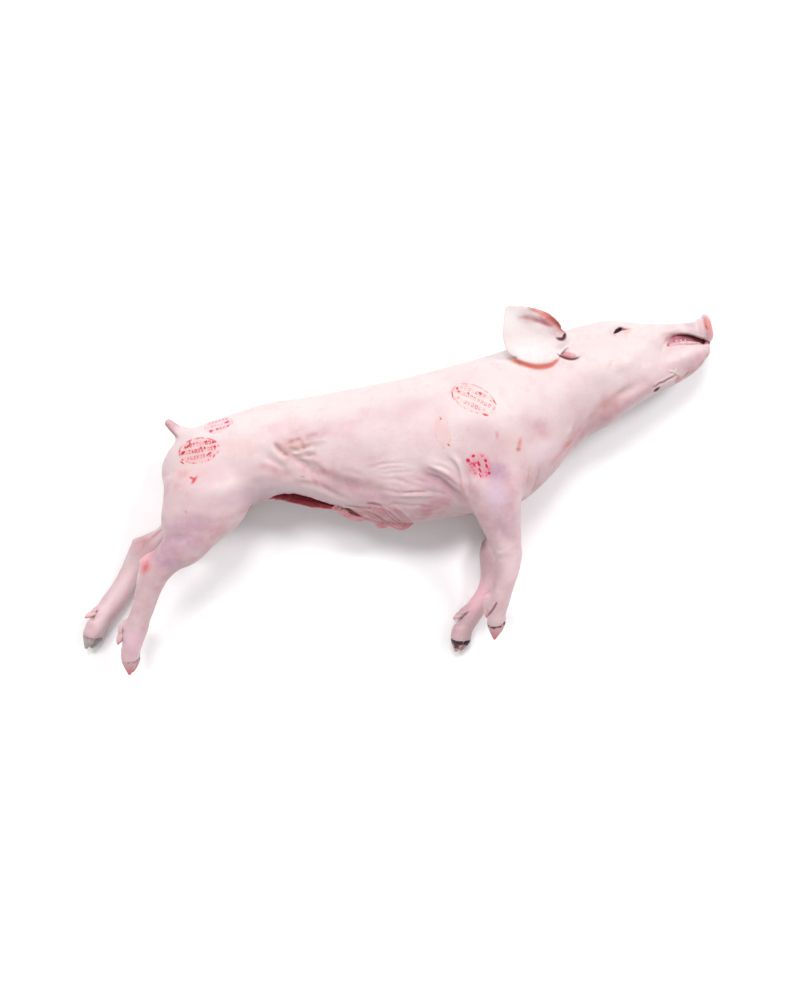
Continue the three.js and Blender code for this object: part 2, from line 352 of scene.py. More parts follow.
def drawn(rows, count):
    """A smooth curve through rows of numbers, at count even steps from end to end."""
    return spline(rows, np.linspace(0, 1, count))


def closed_spline(rows, count):
    """A smooth closed curve through rows of numbers, at count even steps."""
    rows = np.asarray(rows, float)
    place = np.arange(count) * len(rows) / count
    i = place.astype(int)
    return cubic(*(rows[(i + k) % len(rows)] for k in (-1, 0, 1, 2)), (place - i)[:, None])


def unit(vectors):
    """Vectors with their length made 1."""
    return vectors / np.maximum(np.linalg.norm(vectors, axis=-1, keepdims=True), 1e-9)


def turned(vectors, axis, angle):
    """Vectors turned about a unit axis: v cos a + (axis x v) sin a + axis (axis . v)(1 - cos a)."""
    along = (vectors * axis).sum(-1, keepdims=True)
    cross = np.cross(axis, vectors)
    return vectors * math.cos(angle) + cross * math.sin(angle) + axis * along * (1 - math.cos(angle))


def bell(d, width):
    """exp(-(d/w)^2)"""
    return np.exp(-((d / width) ** 2))


UP = np.array([0.0, 0.0, 1.0])

# ---- lofts


def shell(rings):
    """A closed skin over rings of points (rings, around, 3), each end drawn to its ring's middle."""
    count, around = rings.shape[:2]
    k = np.arange(around)
    r = np.arange(count - 1)[:, None]
    a, b = r * around + k, r * around + (k + 1) % around
    quads = np.stack([a, b, b + around, a + around], -1).reshape(-1, 4)
    first, last = count * around, count * around + 1
    end = (count - 1) * around
    caps = [(first, (j + 1) % around, j) for j in range(around)]
    caps += [(last, end + j, end + (j + 1) % around) for j in range(around)]
    points = np.vstack([rings.reshape(-1, 3), rings[0].mean(0), rings[-1].mean(0)])
    return points, quads.tolist() + caps


def oval(centre, side, up, half_side, half_up, around, fullness=2.0):
    """Rings centre + side a |cos|^(2/f) + up b |sin|^(2/f), signed; fullness 2 is an ellipse."""
    turn = 2 * np.pi * np.arange(around) / around
    c, s = np.cos(turn), np.sin(turn)
    c = np.sign(c) * np.abs(c) ** (2 / fullness)
    s = np.sign(s) * np.abs(s) ** (2 / fullness)
    across = np.asarray(half_side)[:, None, None] * c[None, :, None] * side[:, None, :]
    rise = np.asarray(half_up)[:, None, None] * s[None, :, None] * up[:, None, :]
    return centre[:, None, :] + across + rise


def limb(stations, around, steps, tilt=0.0):
    """A loft of ellipses along the spline through [x, y, z, half side, half up] stations, each square
    to the path; side is level unless tilted about the path."""
    t = np.linspace(0, 1, steps + 1)
    rows = spline(stations, t)
    along = unit(spline(stations, t + 0.01)[:, :3] - spline(stations, t - 0.01)[:, :3])
    side = turned(unit(np.cross(UP, along)), along, tilt)
    up = np.cross(along, side)
    return shell(oval(rows[:, :3], side, up, rows[:, 3], rows[:, 4], around))


def head_level(x):
    """Height of the sections' middle at x: straight lines between the stations."""
    droop = np.array(HEAD_DROOP)
    return np.interp(x, droop[:, 0], droop[:, 1])


def barrel(stations, around, steps, fullness=2.0):
    """A loft of ovals square to X from [x, upper y, lower y, half width] stations."""
    rows = drawn(stations, steps + 1)
    x, back, belly, half_width = rows.T
    lying = np.maximum(half_width - TABLE_SINK, SPINE_LEVEL)
    level = np.where(x < HEAD_DROOP[0][0], lying, head_level(x))
    centre = np.stack([x, (back + belly) / 2, level], -1)
    side = np.tile([0.0, 1.0, 0.0], (len(x), 1))
    up = np.tile(UP, (len(x), 1))
    return shell(oval(centre, side, up, (back - belly) / 2, half_width, around, fullness))


def ear_sheet(rim, middle, around=72):
    """A cupped sheet: rim r + middle (1 - r) with a parabolic dip, under side first, then the top,
    each face half a thickness off it and rounded over at the rim."""
    edge = closed_spline(rim, around)
    centre = np.asarray(middle, float)
    reach = np.array([0.12, 0.3, 0.48, 0.64, 0.78, 0.88, 0.95, 0.985])
    reaches = np.concatenate([reach, [1.0], reach[::-1]])[:, None, None]
    face = np.concatenate([-np.ones(8), [0.0], np.ones(8)])[:, None]
    rings = centre + (edge[None] - centre) * reaches
    dip = (edge[None, :, 2] - centre[2]) * reaches[..., 0] * (reaches[..., 0] - 1)
    half = EAR_THICKNESS / 2 * np.sqrt(np.clip(1 - reaches[..., 0] ** 10, 0, 1))
    rings[..., 2] += dip + face * half
    return shell(rings)


def flattened(ear):
    """The ear on the side that lies down: the same outline, smaller and flat on the table."""
    root = np.array(LEFT_EAR_STUB[1][:2])

    def lay(point):
        """A point of the outline, drawn in towards the root and laid down."""
        plan = root + (np.array(point[:2]) - root) * LEFT_EAR_SIZE
        return [plan[0], plan[1], LEFT_EAR_LEVEL]

    return {"rim": [lay(p) for p in ear["rim"]], "middle": lay(ear["middle"]), "stub": LEFT_EAR_STUB}


# ---- feet


def foot_axes(name):
    """Where a foot's claws stand: its end, the point between their tips, and front and across it."""
    end, tip = np.array(LEGS[name][-1][:3], float), np.array(FEET[name]["tip"], float)
    along = unit(tip - end)
    front = turned(unit(np.cross(UP, along)), along, math.radians(FEET[name]["roll"]))
    return end, tip, front, np.cross(along, front)


def claw_rings(sections, root, tip, front, across, around):
    """Rings of a claw from root to tip, from [reach, half depth, half breadth, forward shift] rows."""
    rows = drawn(sections, 4 * len(sections))
    centre = root + rows[:, :1] * (tip - root) + rows[:, 3:4] * front
    side, up = (np.tile(axis, (len(rows), 1)) for axis in (front, across))
    return oval(centre, side, up, rows[:, 1], rows[:, 2], around)


# claws and dew claws in skin and in horn: [reach, half depth, half breadth, forward shift]
TOE_SKIN = [
    [-0.6, 7.0, 5.0, 0],
    [-0.2, 8.4, 5.9, 0],
    [0.12, 8.8, 6.2, 0],
    [0.3, 8.6, 5.9, 0],
    [0.38, 6.8, 4.6, 0],
]
CLAW_HORN = [
    [0, 6.8, 4.4, 0],
    [0.3, 8.0, 5.3, 0.2],
    [0.5, 6.9, 4.7, 0.3],
    [0.76, 4.3, 3.3, 0.2],
    [1.0, 1.2, 1.4, -0.3],
]
DEW_SKIN = [
    [0, 6.2, 5.8, 0],
    [0.25, 6.2, 5.6, 0],
    [0.46, 5.4, 5.0, 0],
    [0.58, 4.5, 4.2, 0],
    [0.64, 3.2, 3.0, 0],
]
DEW_HORN = [[0.44, 3.6, 3.4, 0], [0.64, 4.2, 4.0, 0], [0.84, 3.1, 2.9, 0], [1.0, 1.0, 1.0, 0]]


def claw_places(name):
    """The root and tip of each of a foot's claws and then of its dew claws."""
    end, tip, _, across = foot_axes(name)
    spread = [(across * CLAW_SPACING * hand, across * CLAW_TIP_SPACING * hand) for hand in (-1, 1)]
    big = [(end + at_root, tip + at_tip) for at_root, at_tip in spread]
    return big, [(np.array(row[:3], float), np.array(row[3:], float)) for row in FEET[name]["dews"]]


def toes(name):
    """The skin of a foot's two toes and two dew claws, as shells."""
    _, _, front, across = foot_axes(name)
    big, small = claw_places(name)
    shells = [shell(claw_rings(TOE_SKIN, root, tip, front, across, 20)) for root, tip in big]
    return shells + [shell(claw_rings(DEW_SKIN, root, tip, front, across, 16)) for root, tip in small]


def horn(name):
    """Rings of horn for a foot's two claws, and for its two dew claws."""
    _, _, front, across = foot_axes(name)
    big, small = claw_places(name)
    claws = [claw_rings(CLAW_HORN, root, tip, front, across, 32) for root, tip in big]
    return claws, [claw_rings(DEW_HORN, root, tip, front, across, 20) for root, tip in small]


# ---- meshes


def in_scene(name, data):
    """A new object in the scene that shows the data given."""
    made = bpy.data.objects.new(name, data)
    bpy.context.scene.collection.objects.link(made)
    return made


def mesh_object(name, shells):
    """One object from several (points, faces) shells."""
    points, faces, start = [], [], 0
    for shell_points, shell_faces in shells:
        points.append(shell_points)
        faces += [[i + start for i in face] for face in shell_faces]
        start += len(shell_points)
    mesh = bpy.data.meshes.new(name)
    mesh.from_pydata(np.vstack(points).tolist(), [], faces)
    mesh.update()
    return in_scene(name, mesh)


def settle(made):
    """Applies an object's modifiers to its mesh."""
    bpy.context.view_layer.update()
    done = bpy.data.meshes.new_from_object(made.evaluated_get(bpy.context.evaluated_depsgraph_get()))
    made.modifiers.clear()
    spent, made.data = made.data, done
    bpy.data.meshes.remove(spent)


def remesh(made, voxel):
    """Joins an object's overlapping shells into one skin of even squares."""
    modifier = made.modifiers.new("join", "REMESH")
    modifier.mode = "VOXEL"
    modifier.voxel_size = voxel
    settle(made)


def carve(made, cutter):
    """Cuts the cutter's shape out of an object and removes the cutter."""
    modifier = made.modifiers.new("cut", "BOOLEAN")
    modifier.operation = "DIFFERENCE"
    modifier.solver = "EXACT"
    modifier.object = cutter
    settle(made)
    spent = cutter.data
    bpy.data.objects.remove(cutter)
    bpy.data.meshes.remove(spent)


def read_out(items, name, width, kind=float):
    """What each of a mesh's items holds under a name, as one array with a row for each item."""
    flat = np.empty(len(items) * width, kind)
    items.foreach_get(name, flat)
    return flat.reshape(-1, width)


def points_of(mesh):
    """Where a mesh's points lie."""
    return read_out(mesh.vertices, "co", 3)


def normals_of(mesh):
    """The way out of the surface at each of a mesh's points."""
    return read_out(mesh.vertex_normals, "vector", 3)


def edges_of(mesh):
    """The two points at the ends of each of a mesh's edges."""
    return read_out(mesh.edges, "vertices", 2, int)


def place(mesh, points):
    """Moves a mesh's points."""
    mesh.vertices.foreach_set("co", np.asarray(points, float).ravel())
    mesh.update()


def mean_of_neighbours(values, edges):
    """For each point, the mean of its neighbours' values."""
    a, b = edges.T
    count = len(values)
    near = np.maximum(np.bincount(a, minlength=count) + np.bincount(b, minlength=count), 1)
    flat = values.reshape(count, -1)
    total = [np.bincount(a, column[b], count) + np.bincount(b, column[a], count) for column in flat.T]
    return (np.stack(total, -1) / near[:, None]).reshape(values.shape)


def ease(points, edges, share, rounds):
    """Moves points towards the mean of their neighbours, each by its own share, again and again."""
    share = np.broadcast_to(np.asarray(share, float), len(points))[:, None]
    for _ in range(rounds):
        points = points + (mean_of_neighbours(points, edges) - points) * share
    return points


def polish(points, edges, rounds):
    """Evens out small steps and keeps the volume: a step in, then a slightly larger one out."""
    for _ in range(rounds):
        points = ease(points, edges, 0.5, 1)
        points = ease(points, edges, -0.52, 1)
    return points


def refine(mesh, wanted):
    """Splits each face in four where wanted(face centres) is true."""
    bm = bmesh.new()
    bm.from_mesh(mesh)
    bm.faces.ensure_lookup_table()
    centres = np.array([face.calc_center_median() for face in bm.faces])
    chosen = np.flatnonzero(wanted(centres))
    edges = list({edge for i in chosen for edge in bm.faces[i].edges})
    bmesh.ops.subdivide_edges(bm, edges=edges, cuts=1, use_grid_fill=True)
    bm.to_mesh(mesh)
    bm.free()
    mesh.update()


def in_plan(points, x, y, half_x, half_y, angle=0.0):
    """Distance from a place as seen from above, in half sizes of an oval turned by angle degrees."""
    turn = math.radians(angle)
    dx, dy = points[:, 0] - x, points[:, 1] - y
    u = (dx * math.cos(turn) + dy * math.sin(turn)) / half_x
    v = (dy * math.cos(turn) - dx * math.sin(turn)) / half_y
    return np.hypot(u, v)


def from_path(points, path, margin):
    """For each point, its distance in plan from a smooth path, signed plus to the path's left, and how
    far along the path it is from 0 to 1. Points further off than the margin get an infinite distance."""
    line = drawn(path, 8 * (len(path) - 1) + 1)[:, :2]
    distance = np.full(len(points), np.inf)
    along = np.zeros(len(points))
    low, high = line.min(0) - margin, line.max(0) + margin
    near = np.flatnonzero(np.all((points[:, :2] > low) & (points[:, :2] < high), axis=1))
    here = points[near, :2]
    best = np.full(len(near), np.inf)
    signed = np.zeros(len(near))
    share = np.zeros(len(near))
    for k in range(len(line) - 1):
        a, step = line[k], line[k + 1] - line[k]
        t = np.clip(((here - a) @ step) / (step @ step), 0, 1)
        off = here - a - t[:, None] * step
        d = np.hypot(off[:, 0], off[:, 1])
        closer = d < best
        left = np.where(step[0] * off[:, 1] - step[1] * off[:, 0] >= 0, 1.0, -1.0)
        best = np.where(closer, d, best)
        signed = np.where(closer, d * left, signed)
        share = np.where(closer, (k + t) / (len(line) - 1), share)
    distance[near] = signed
    along[near] = share
    return distance, along


# ---- folds, muscles and wrinkles

# seams in plan that are both folds and dark or red lines: in the throat, on the chin, under the ear,
# between the claws, and the deepest on the flank, belly and torn skin
THROAT_SEAM = [
    [482, -62.5],
    [487, -62.3],
    [491.7, -60.4],
    [497, -59.8],
    [500.9, -58.4],
    [508.4, -56.8],
    [513, -54.5],
]
EAR_CREASE = [
    [393, -4],
    [396, -8.4],
    [399.4, -11.8],
    [403, -14.4],
    [407, -16.3],
    [411, -17.1],
    [415.5, -16.8],
    [420, -15.2],
]
CLAW_SEAMS = {
    "right_fore": [[279.5, -241], [277, -244.4], [271.2, -250.4], [264.4, -255.8]],
    "left_fore": [[251, -246.5], [247.1, -248.7], [242.4, -250.9], [239.5, -254.8]],
    "left_hind": [[-127, -157.5], [-130.3, -159.8], [-134, -163.5], [-137, -167.5]],
    "right_hind": [[-102, -181], [-103.6, -185.1], [-106.5, -191], [-109, -197.5]],
}
CHIN_SEAM = [[514, -62], [520.9, -58.2], [527.5, -54]]
FLANK_SEAMS = [[[124, -35.2], [132.4, -33.5], [141, -33.1]], [[109, -43], [116.7, -44.7], [123, -45]]]
BELLY_SEAM = [[207, -110], [220.3, -111.5], [236, -115]]
TORN_SEAM = [[171, -112], [180.3, -115.3], [188, -119.5]]
THROAT_HOLE = [488.8, -65.7, 4.4, 1.7, 22]  # an oval in plan, as a swell or a patch of colour has

# folds of the upper side in plan: path, half the width of the valley, depth (a ridge's is negative),
# and the share of the depth that its left and right lips stand up
FLANK_FOLDS = [
    ([[94, -29], [97, -37], [101.5, -44.4], [106.3, -47.6]], 2.8, 1.7, 0.5, 0.6),
    ([[102, -45], [114.2, -55.6], [121.8, -64.3], [130.8, -73.3], [142, -83]], 4.2, 1.6, 0.5, 0.2),
    ([[124.5, -58.7], [132.5, -66.1], [137.6, -74.2], [145.8, -80.3]], 3.2, 1.0, 0.4, 0.3),
    ([[107.5, -35], [114.1, -34.9], [121, -33.2]], 1.9, 1.1, 0.5, 0.6),
    (FLANK_SEAMS[0], 2.3, 0.9, 0.3, 0.7),
    ([[117, -41.8], [123.9, -43.3], [132, -42.9]], 1.8, 1.3, 0.6, 0.6),
    (FLANK_SEAMS[1], 1.6, 1.0, 0.7, 0.7),
    ([[119, -50.4], [127.3, -52.4], [135, -52.5]], 2.4, 1.2, 0.5, 0.5),
    ([[119.5, -32], [121.5, -38.6], [123.1, -45]], 2.0, 1.1, 0.4, 0.4),
    ([[104, -24.5], [117.6, -22.5], [132, -20]], 3.2, 0.7, 0.3, 0.4),
    ([[80, -42], [89.3, -49.2], [95, -54.7], [104, -62]], 3.0, 1.0, 0.4, 0.5),
    ([[128, -39.4], [138.6, -39.8], [149, -40.3]], 2.6, -1.0, 0.2, 0.2),
    ([[66, -54], [82, -56], [97, -63], [113, -71]], 5.0, 1.3, 0.3, 0.5),
    ([[58, -66], [80, -66], [100, -72]], 4.0, 0.8, 0.4, 0.2),
    ([[139.8, -81.6], [155, -87.9], [167.6, -93.5], [183.5, -102.8], [197, -111]], 6.5, 1.7, 0.3, 0.3),
    ([[128, -80], [139.7, -94], [158, -107.5]], 2.0, 0.9, 0.6, 0.4),
    ([[104, -76], [117, -79], [132, -88], [150, -101]], 2.2, 0.8, 0.5, 0.5),
    ([[152, -72], [164, -78], [180, -88]], 3.0, 0.6, 0.4, 0.4),
]
BELLY_FOLDS = [
    ([[190, -77], [207, -79], [224, -83]], 1.5, 0.5, 0.8, 0.8),
    ([[190, -82.5], [207, -83.6], [222, -87]], 1.5, 0.4, 0.8, 0.6),
    ([[174, -70.4], [188.2, -70.5], [200, -71]], 1.9, 0.35, 0.6, 0.4),
    ([[180, -79.5], [192.1, -77.7], [202, -77.5]], 1.8, 0.35, 0.5, 0.5),
    ([[190, -88.5], [204.9, -88.3], [218.2, -90.6], [229, -94]], 1.8, 0.4, 0.7, 0.4),
    ([[186, -91], [203.4, -94.9], [219, -100]], 1.8, 0.4, 0.6, 0.4),
    (BELLY_SEAM, 1.4, 0.8, 0.3, 0.9),
    ([[196, -110], [218.2, -114.9], [247, -121.8]], 1.6, -0.6, 0.3, 0.3),
    ([[187, -102], [199.3, -106.4], [209, -111]], 1.8, 0.6, 0.5, 0.4),
    ([[222, -98.5], [234.4, -104.8], [247, -111]], 1.8, 0.45, 0.5, 0.5),
    ([[205, -94.5], [218.3, -102.5], [231, -109]], 1.8, 0.35, 0.5, 0.4),
    ([[230, -112], [243, -117], [256, -124]], 1.6, 0.4, 0.5, 0.5),
    ([[190, -119], [204, -121], [220, -128]], 1.8, 0.6, 0.5, 0.5),
    ([[212, -124], [224, -127], [236, -133]], 1.5, 0.6, 0.5, 0.5),
    ([[222, -133], [236, -135], [248, -134]], 1.3, 0.5, 0.5, 0.5),
]
STRANDS = [
    ([[141, -105], [156.1, -116], [168, -125.8], [181, -137]], 1.1, -1.1, 0.5, 0.8),
    ([[150, -108.5], [167.2, -122.8], [179.1, -132.6], [195, -145]], 1.1, -1.2, 0.6, 0.8),
    ([[163, -111], [184, -129.5], [198, -144.5]], 1.1, -1.1, 0.6, 0.7),
    ([[172, -115.5], [191.4, -134], [203, -147]], 1.1, -1.0, 0.6, 0.7),
    ([[184, -117], [198, -129.9], [207, -144]], 1.2, -0.8, 0.6, 0.6),
    ([[196, -119], [208, -131], [216, -143]], 1.2, -0.6, 0.5, 0.5),
    ([[150, -109.5], [164.8, -115.2], [177, -119.5]], 1.1, 0.9, 0.4, 0.5),
    (TORN_SEAM, 1.3, 0.9, 0.5, 0.5),
    ([[146.5, -112], [154.6, -116.4], [160.7, -120.6], [168, -125.5]], 1.9, 3.0, 0.2, 0.2),
]
ARMPIT_VALLEY = [[224, -86], [240.1, -99], [248.6, -106], [256, -115], [263.3, -125], [274, -139]]
ARMPIT_RIDGE = [[262, -80], [268.5, -88.5], [272.1, -97.5], [272.4, -111.7], [272.4, -124], [276, -138]]
SHOULDER_FOLDS = [
    (ARMPIT_VALLEY, 5.2, 2.6, 0.7, 0.0),
    ([[240, -97], [250, -105], [256, -112.5], [263.3, -122], [276, -139]], 1.6, 1.0, 0.9, 0.0),
    ([[236, -90], [249, -99], [259, -109], [268, -121]], 1.9, 1.2, 0.6, 0.5),
    ([[243, -88], [256, -95], [264, -104]], 1.8, 0.8, 0.5, 0.5),
    (ARMPIT_RIDGE, 2.2, -1.8, 0.5, 0.2),
    ([[344.5, -107], [338.6, -122], [333, -134]], 1.2, 1.2, 0.7, 0.7),
    ([[347, -107], [341.4, -122.6], [335.5, -134]], 1.2, 1.2, 0.7, 0.7),
    ([[350, -108], [344.1, -123.3], [338.4, -134]], 1.2, 1.1, 0.7, 0.7),
    ([[353.5, -110], [347.4, -124], [341.1, -134]], 1.2, 0.9, 0.7, 0.7),
    ([[334, -150], [341, -137], [352, -122]], 2.4, 1.2, 0.5, 0.4),
]
NECK_FOLDS = [
    ([[478, -55], [458, -60], [444, -66], [430, -70], [418, -78]], 6.0, 0.8, 0.2, 0.3),
    ([[421, -69], [410, -84], [393, -100], [381, -108]], 2.2, 1.2, 0.5, 0.6),
    ([[406, -78], [396, -90], [382, -98]], 2.0, 1.0, 0.5, 0.5),
    ([[401, -76], [393, -88], [384, -100]], 1.7, 0.8, 0.5, 0.5),
    ([[422, -74], [414, -85], [405, -94]], 1.9, 0.9, 0.5, 0.5),
    ([[487, -52], [474, -57], [459, -62], [447, -71]], 6.0, 0.9, 0.2, 0.1),
    (THROAT_SEAM, 1.0, 1.3, 0.5, 0.5),
    (CHIN_SEAM, 1.0, 0.6, 0.6, 0.7),
    ([[513, -64.5], [519, -61.5], [525, -58]], 1.0, 0.5, 0.6, 0.5),
    (EAR_CREASE, 1.4, 2.0, 0.8, 0.3),
    ([[372, -100], [362, -84], [356, -66]], 9.0, 1.0, 0.2, 0.2),
]
LEG_FOLDS = [
    ([[28, -103], [54, -90], [72, -84]], 3.0, 1.2, 0.4, 0.3),
    ([[-62, -122], [-53, -117], [-46, -107], [-41, -98]], 3.0, 1.6, 0.2, 0.3),
    ([[-32, -96], [-20, -104], [-6, -106], [8, -106]], 6.0, 0.9, 0.2, 0.2),
    ([[-66, -141], [-60, -150], [-68, -168]], 3.0, 0.8, 0.2, 0.2),
    ([[289, -187.5], [295, -189], [302, -187]], 1.6, 1.0, 0.5, 0.5),
    ([[288, -197.5], [293, -198.5], [299, -197.5]], 1.6, 0.8, 0.5, 0.5),
    ([[289, -152], [296, -168], [300, -186]], 5.0, 0.7, 0.2, 0.2),
    (CLAW_SEAMS["right_fore"], 1.2, 2.0, 0.3, 0.3),
    (CLAW_SEAMS["left_fore"], 1.2, 1.8, 0.3, 0.3),
    (CLAW_SEAMS["left_hind"], 1.2, 1.8, 0.3, 0.3),
    (CLAW_SEAMS["right_hind"], 1.2, 1.8, 0.3, 0.3),
]
FOLDS = FLANK_FOLDS + BELLY_FOLDS + STRANDS + SHOULDER_FOLDS + NECK_FOLDS + LEG_FOLDS

# soft swells (or hollows) of the upper side in plan: [x, y, half length, half breadth, angle, height]
SWELLS = [
    [86, -44, 26, 16, -20, -2.4],
    [118, -58, 30, 17, -48, -3.0],
    [148, -88, 36, 16, -34, -2.2],
    [114, -39.5, 7, 2.6, -8, 1.0],
    [114, -47.6, 6, 2.2, -8, 0.9],
    [119, -54.5, 5, 2.4, -5, 0.9],
    [30, -62, 58, 18, 0, 1.8],
    [6, -40, 24, 26, 0, 1.4],
    [200, -40, 60, 30, -4, 1.2],
    [222, -112, 40, 17, -16, 1.8],
    [262, -96, 13, 24, 24, -1.8],
    [300, -58, 38, 26, -30, 2.0],
    [286, -122, 13, 17, 20, 2.4],
    [304, -100, 17, 20, 0, 1.2],
    [342, -82, 20, 26, -20, -1.8],
    [374, -92, 22, 13, 35, 1.4],
    [438, -40, 22, 19, 0, 2.0],
    [462, -36, 20, 12, -14, 1.0],
    [452, -62, 22, 6, 15, -1.2],
    [409, -9, 9, 5, -28, 1.4],
    [466, 2, 14, 8, -4, 1.3],
    [492, -2, 16, 11, -8, -1.2],
    [517, -42, 20, 10, 10, 1.2],
    [300, -190, 12, 10, 0, 1.2],
    [301, -170, 8, 12, 0, -0.9],
    [-20, -104, 14, 9, -35, -1.2],
    [128, -22, 44, 9, -2, 0.6],
    [488.5, *THROAT_HOLE[1:], -3.6],
]

# the eye's slit: its path in plan from the back corner to the front, half its height along that path
EYE_PATH = [[457.4, -0.2], [461, 1.4], [465.3, 2.8], [469, 1.5], [476, 0.8]]
EYE_OPEN = [0.2, 1.7, 1.9, 0.8, 0.15]
BROW_FOLD = [[450, 4], [457, 9.5], [468, 10.5], [480, 5]]
UNDER_EYE_FOLD = [[451, -4], [458, -6.5], [467, -5], [475, -2]]
EYE_DEPTH = 4.0
EYE_MIDDLE = [463.5, 1.9]
EYEBALL_RADIUS = 8.0
LID_RING = [3, 6.5]  # the skin round the lids lies between these distances from the eye's middle
EYE_SINK = 1.6  # how far an eyeball's front lies under the skin round the lids

# lines of the right ear in plan
EAR_GROOVE = [[370, 43], [382, 38.2], [390.5, 32], [396, 25.8], [399.8, 19], [402, 13], [403.6, 8]]
EAR_RIDGE = [[368, 42], [381, 37.4], [388.6, 30.8], [395, 25]]
EAR_FURROW = [[360, 37], [374.2, 33.1], [381.9, 28.2], [389, 24.1], [394.7, 21.5], [400, 18]]
EAR_CANAL = [[399.8, 7.4], [402, 5.9], [404.6, 6.0], [406.4, 7.8], [407.2, 10.6]]


def beside(d, width, left, right):
    """Lips exp(-((|d| - 2w)/1.2w)^2) on both sides of a path, times the left's or the right's share."""
    return np.where(d > 0, left, right) * bell(np.abs(d) - 2 * width, 1.2 * width)


def fading(s, first, last):
    """1 along a path, but fading out to 0 before the share first and after the share last."""
    return smooth(s, 0, first) * smooth(s, 1, last)


def fold(points, path, width, depth, left, right):
    """A valley depth exp(-(d/w)^2) along a path, with lips beside it, fading out at its ends."""
    d, s = from_path(points, path, 5 * width)
    return depth * fading(s, 0.28, 0.72) * (beside(d, width, left, right) - bell(d, width))


def ear_place(points, ear):
    """Where points lie on an ear: reach (1 at the rim), turn round it, height over its middle sheet."""
    centre = np.array(ear["middle"], float)
    edge = closed_spline(ear["rim"], 180) - centre
    angles = np.arctan2(edge[:, 1], edge[:, 0])
    dx, dy = points[:, 0] - centre[0], points[:, 1] - centre[1]
    turn = np.arctan2(dy, dx)
    radius = np.interp(turn, angles, np.hypot(edge[:, 0], edge[:, 1]), period=TURN)
    rise = np.interp(turn, angles, edge[:, 2], period=TURN)
    reach = np.hypot(dx, dy) / radius
    sheet = centre[2] + rise * reach + rise * reach * (reach - 1)
    return reach, turn, points[:, 2] - sheet


def ear_relief(points, normals):
    """The right ear's thin rolled rim, the groove and furrow beside its ridge, and the canal's pit."""
    reach, turn, height = ear_place(points, RIGHT_EAR)
    on_ear = smooth(reach, 1.12, 1.0) * smooth(np.abs(height), 9, 5) * smooth(normals[:, 2], 0.0, 0.4)
    d, s = from_path(points, EAR_GROOVE, 30)
    creases = -0.9 * bell(d, 2.2) * smooth(s, 0.05, 0.5)
    d, s = from_path(points, EAR_RIDGE, 24)
    creases += 0.8 * bell(d, 2.0) * fading(s, 0.3, 0.75)
    d, s = from_path(points, EAR_FURROW, 24)
    creases += -0.7 * bell(d, 2.6) * fading(s, 0.35, 0.85)
    d, s = from_path(points, EAR_CANAL, 12)
    pit = -2.0 * bell(d, 1.5) * fading(s, 0.15, 0.8)
    lobe = 0.2 * (1 - smooth(in_plan(points, 399.5, 0.5, 6, 4.5, 35), 0.2, 1.0))
    rim = 0.6 * bell(reach - 0.965, 0.04) * smooth(turn, 0.1, 0.3) * smooth(turn, 1.9, 1.3)
    return on_ear * (creases + pit + lobe + rim)


def eye_gap(points):
    """How far points are outside the eye's slit in plan, and how far along it they lie."""
    d, s = from_path(points, EYE_PATH, 26)
    return d, s, np.abs(d) - np.interp(s, np.linspace(0, 1, len(EYE_OPEN)), EYE_OPEN)


def side_of_head(points):
    """1 for points on the head's right side, which lies up, and -1 on its left."""
    return np.where(points[:, 2] > head_level(points[:, 0]), 1.0, -1.0)


def eye_relief(points, normals):
    """An almond slit let into the head on both sides, its lids and the folds round them."""
    outer = smooth(normals[:, 2] * side_of_head(points), 0.1, 0.4)
    d, s, gap = eye_gap(points)
    slit = -EYE_DEPTH * smooth(gap, 0.7, -0.7) * smooth(s, 1.0, 0.8)
    lids = 0.9 * bell(gap - 1.7, 1.2) * np.where(d > 0, 1.0, 0.7) * smooth(s, 1.0, 0.6)
    d, s = from_path(points, BROW_FOLD, 14)
    arc = -0.8 * bell(d, 1.5) * fading(s, 0.2, 0.8)
    d, s = from_path(points, UNDER_EYE_FOLD, 14)
    arc += -0.6 * bell(d, 1.4) * fading(s, 0.3, 0.6)
    return outer * (slit + lids + arc)


def disc_x(points):
    """How far points lie along the snout, measured square to its disc, which leans back below."""
    return points[:, 0] - 0.13 * (points[:, 1] + 14.0)


def snout_relief(points):
    """The disc's raised rim, its hollow face and the crease behind it, all round the snout."""
    _, y, z = points.T
    x = disc_x(points)
    front = smooth(x, 541, 548)
    around = np.hypot((y + 14.5) / 14.5, (z - 37.5) / 20.0)
    rim = 0.8 * bell(x - 556.0, 1.8) * front
    crease = -0.7 * bell(x - 551.6, 1.8) * front
    hollow = -1.0 * smooth(around, 0.75, 0.35) * smooth(x, 557.5, 560.0)
    wrinkles = -0.3 * bell(x - 545.5, 1.1) * smooth(y, -24, -12)
    return rim + crease + hollow + wrinkles


def mouth_place(points):
    """How far points are outside the mouth's opening in plan (mm, minus inside), and where they lie
    across it, from -1 at the lower lip to 1 at the upper."""
    line = drawn(MOUTH, 120)
    middle = np.interp(points[:, 0], line[:, 0], line[:, 1])
    half = np.interp(points[:, 0], line[:, 0], line[:, 3])
    off = points[:, 1] - middle
    gap = np.abs(off) - half + np.clip(line[0, 0] - points[:, 0], 0, None)
    return gap, off / np.maximum(half, 0.4)


def lip_relief(points):
    """Lips rolled a little outwards round the mouth."""
    gap, share = mouth_place(points)
    inside = (points[:, 0] > 500) & (points[:, 0] < 553)
    return np.where(inside, bell(gap - 1.8, 1.3) * np.where(share > 0, 0.7, 0.5), 0.0)


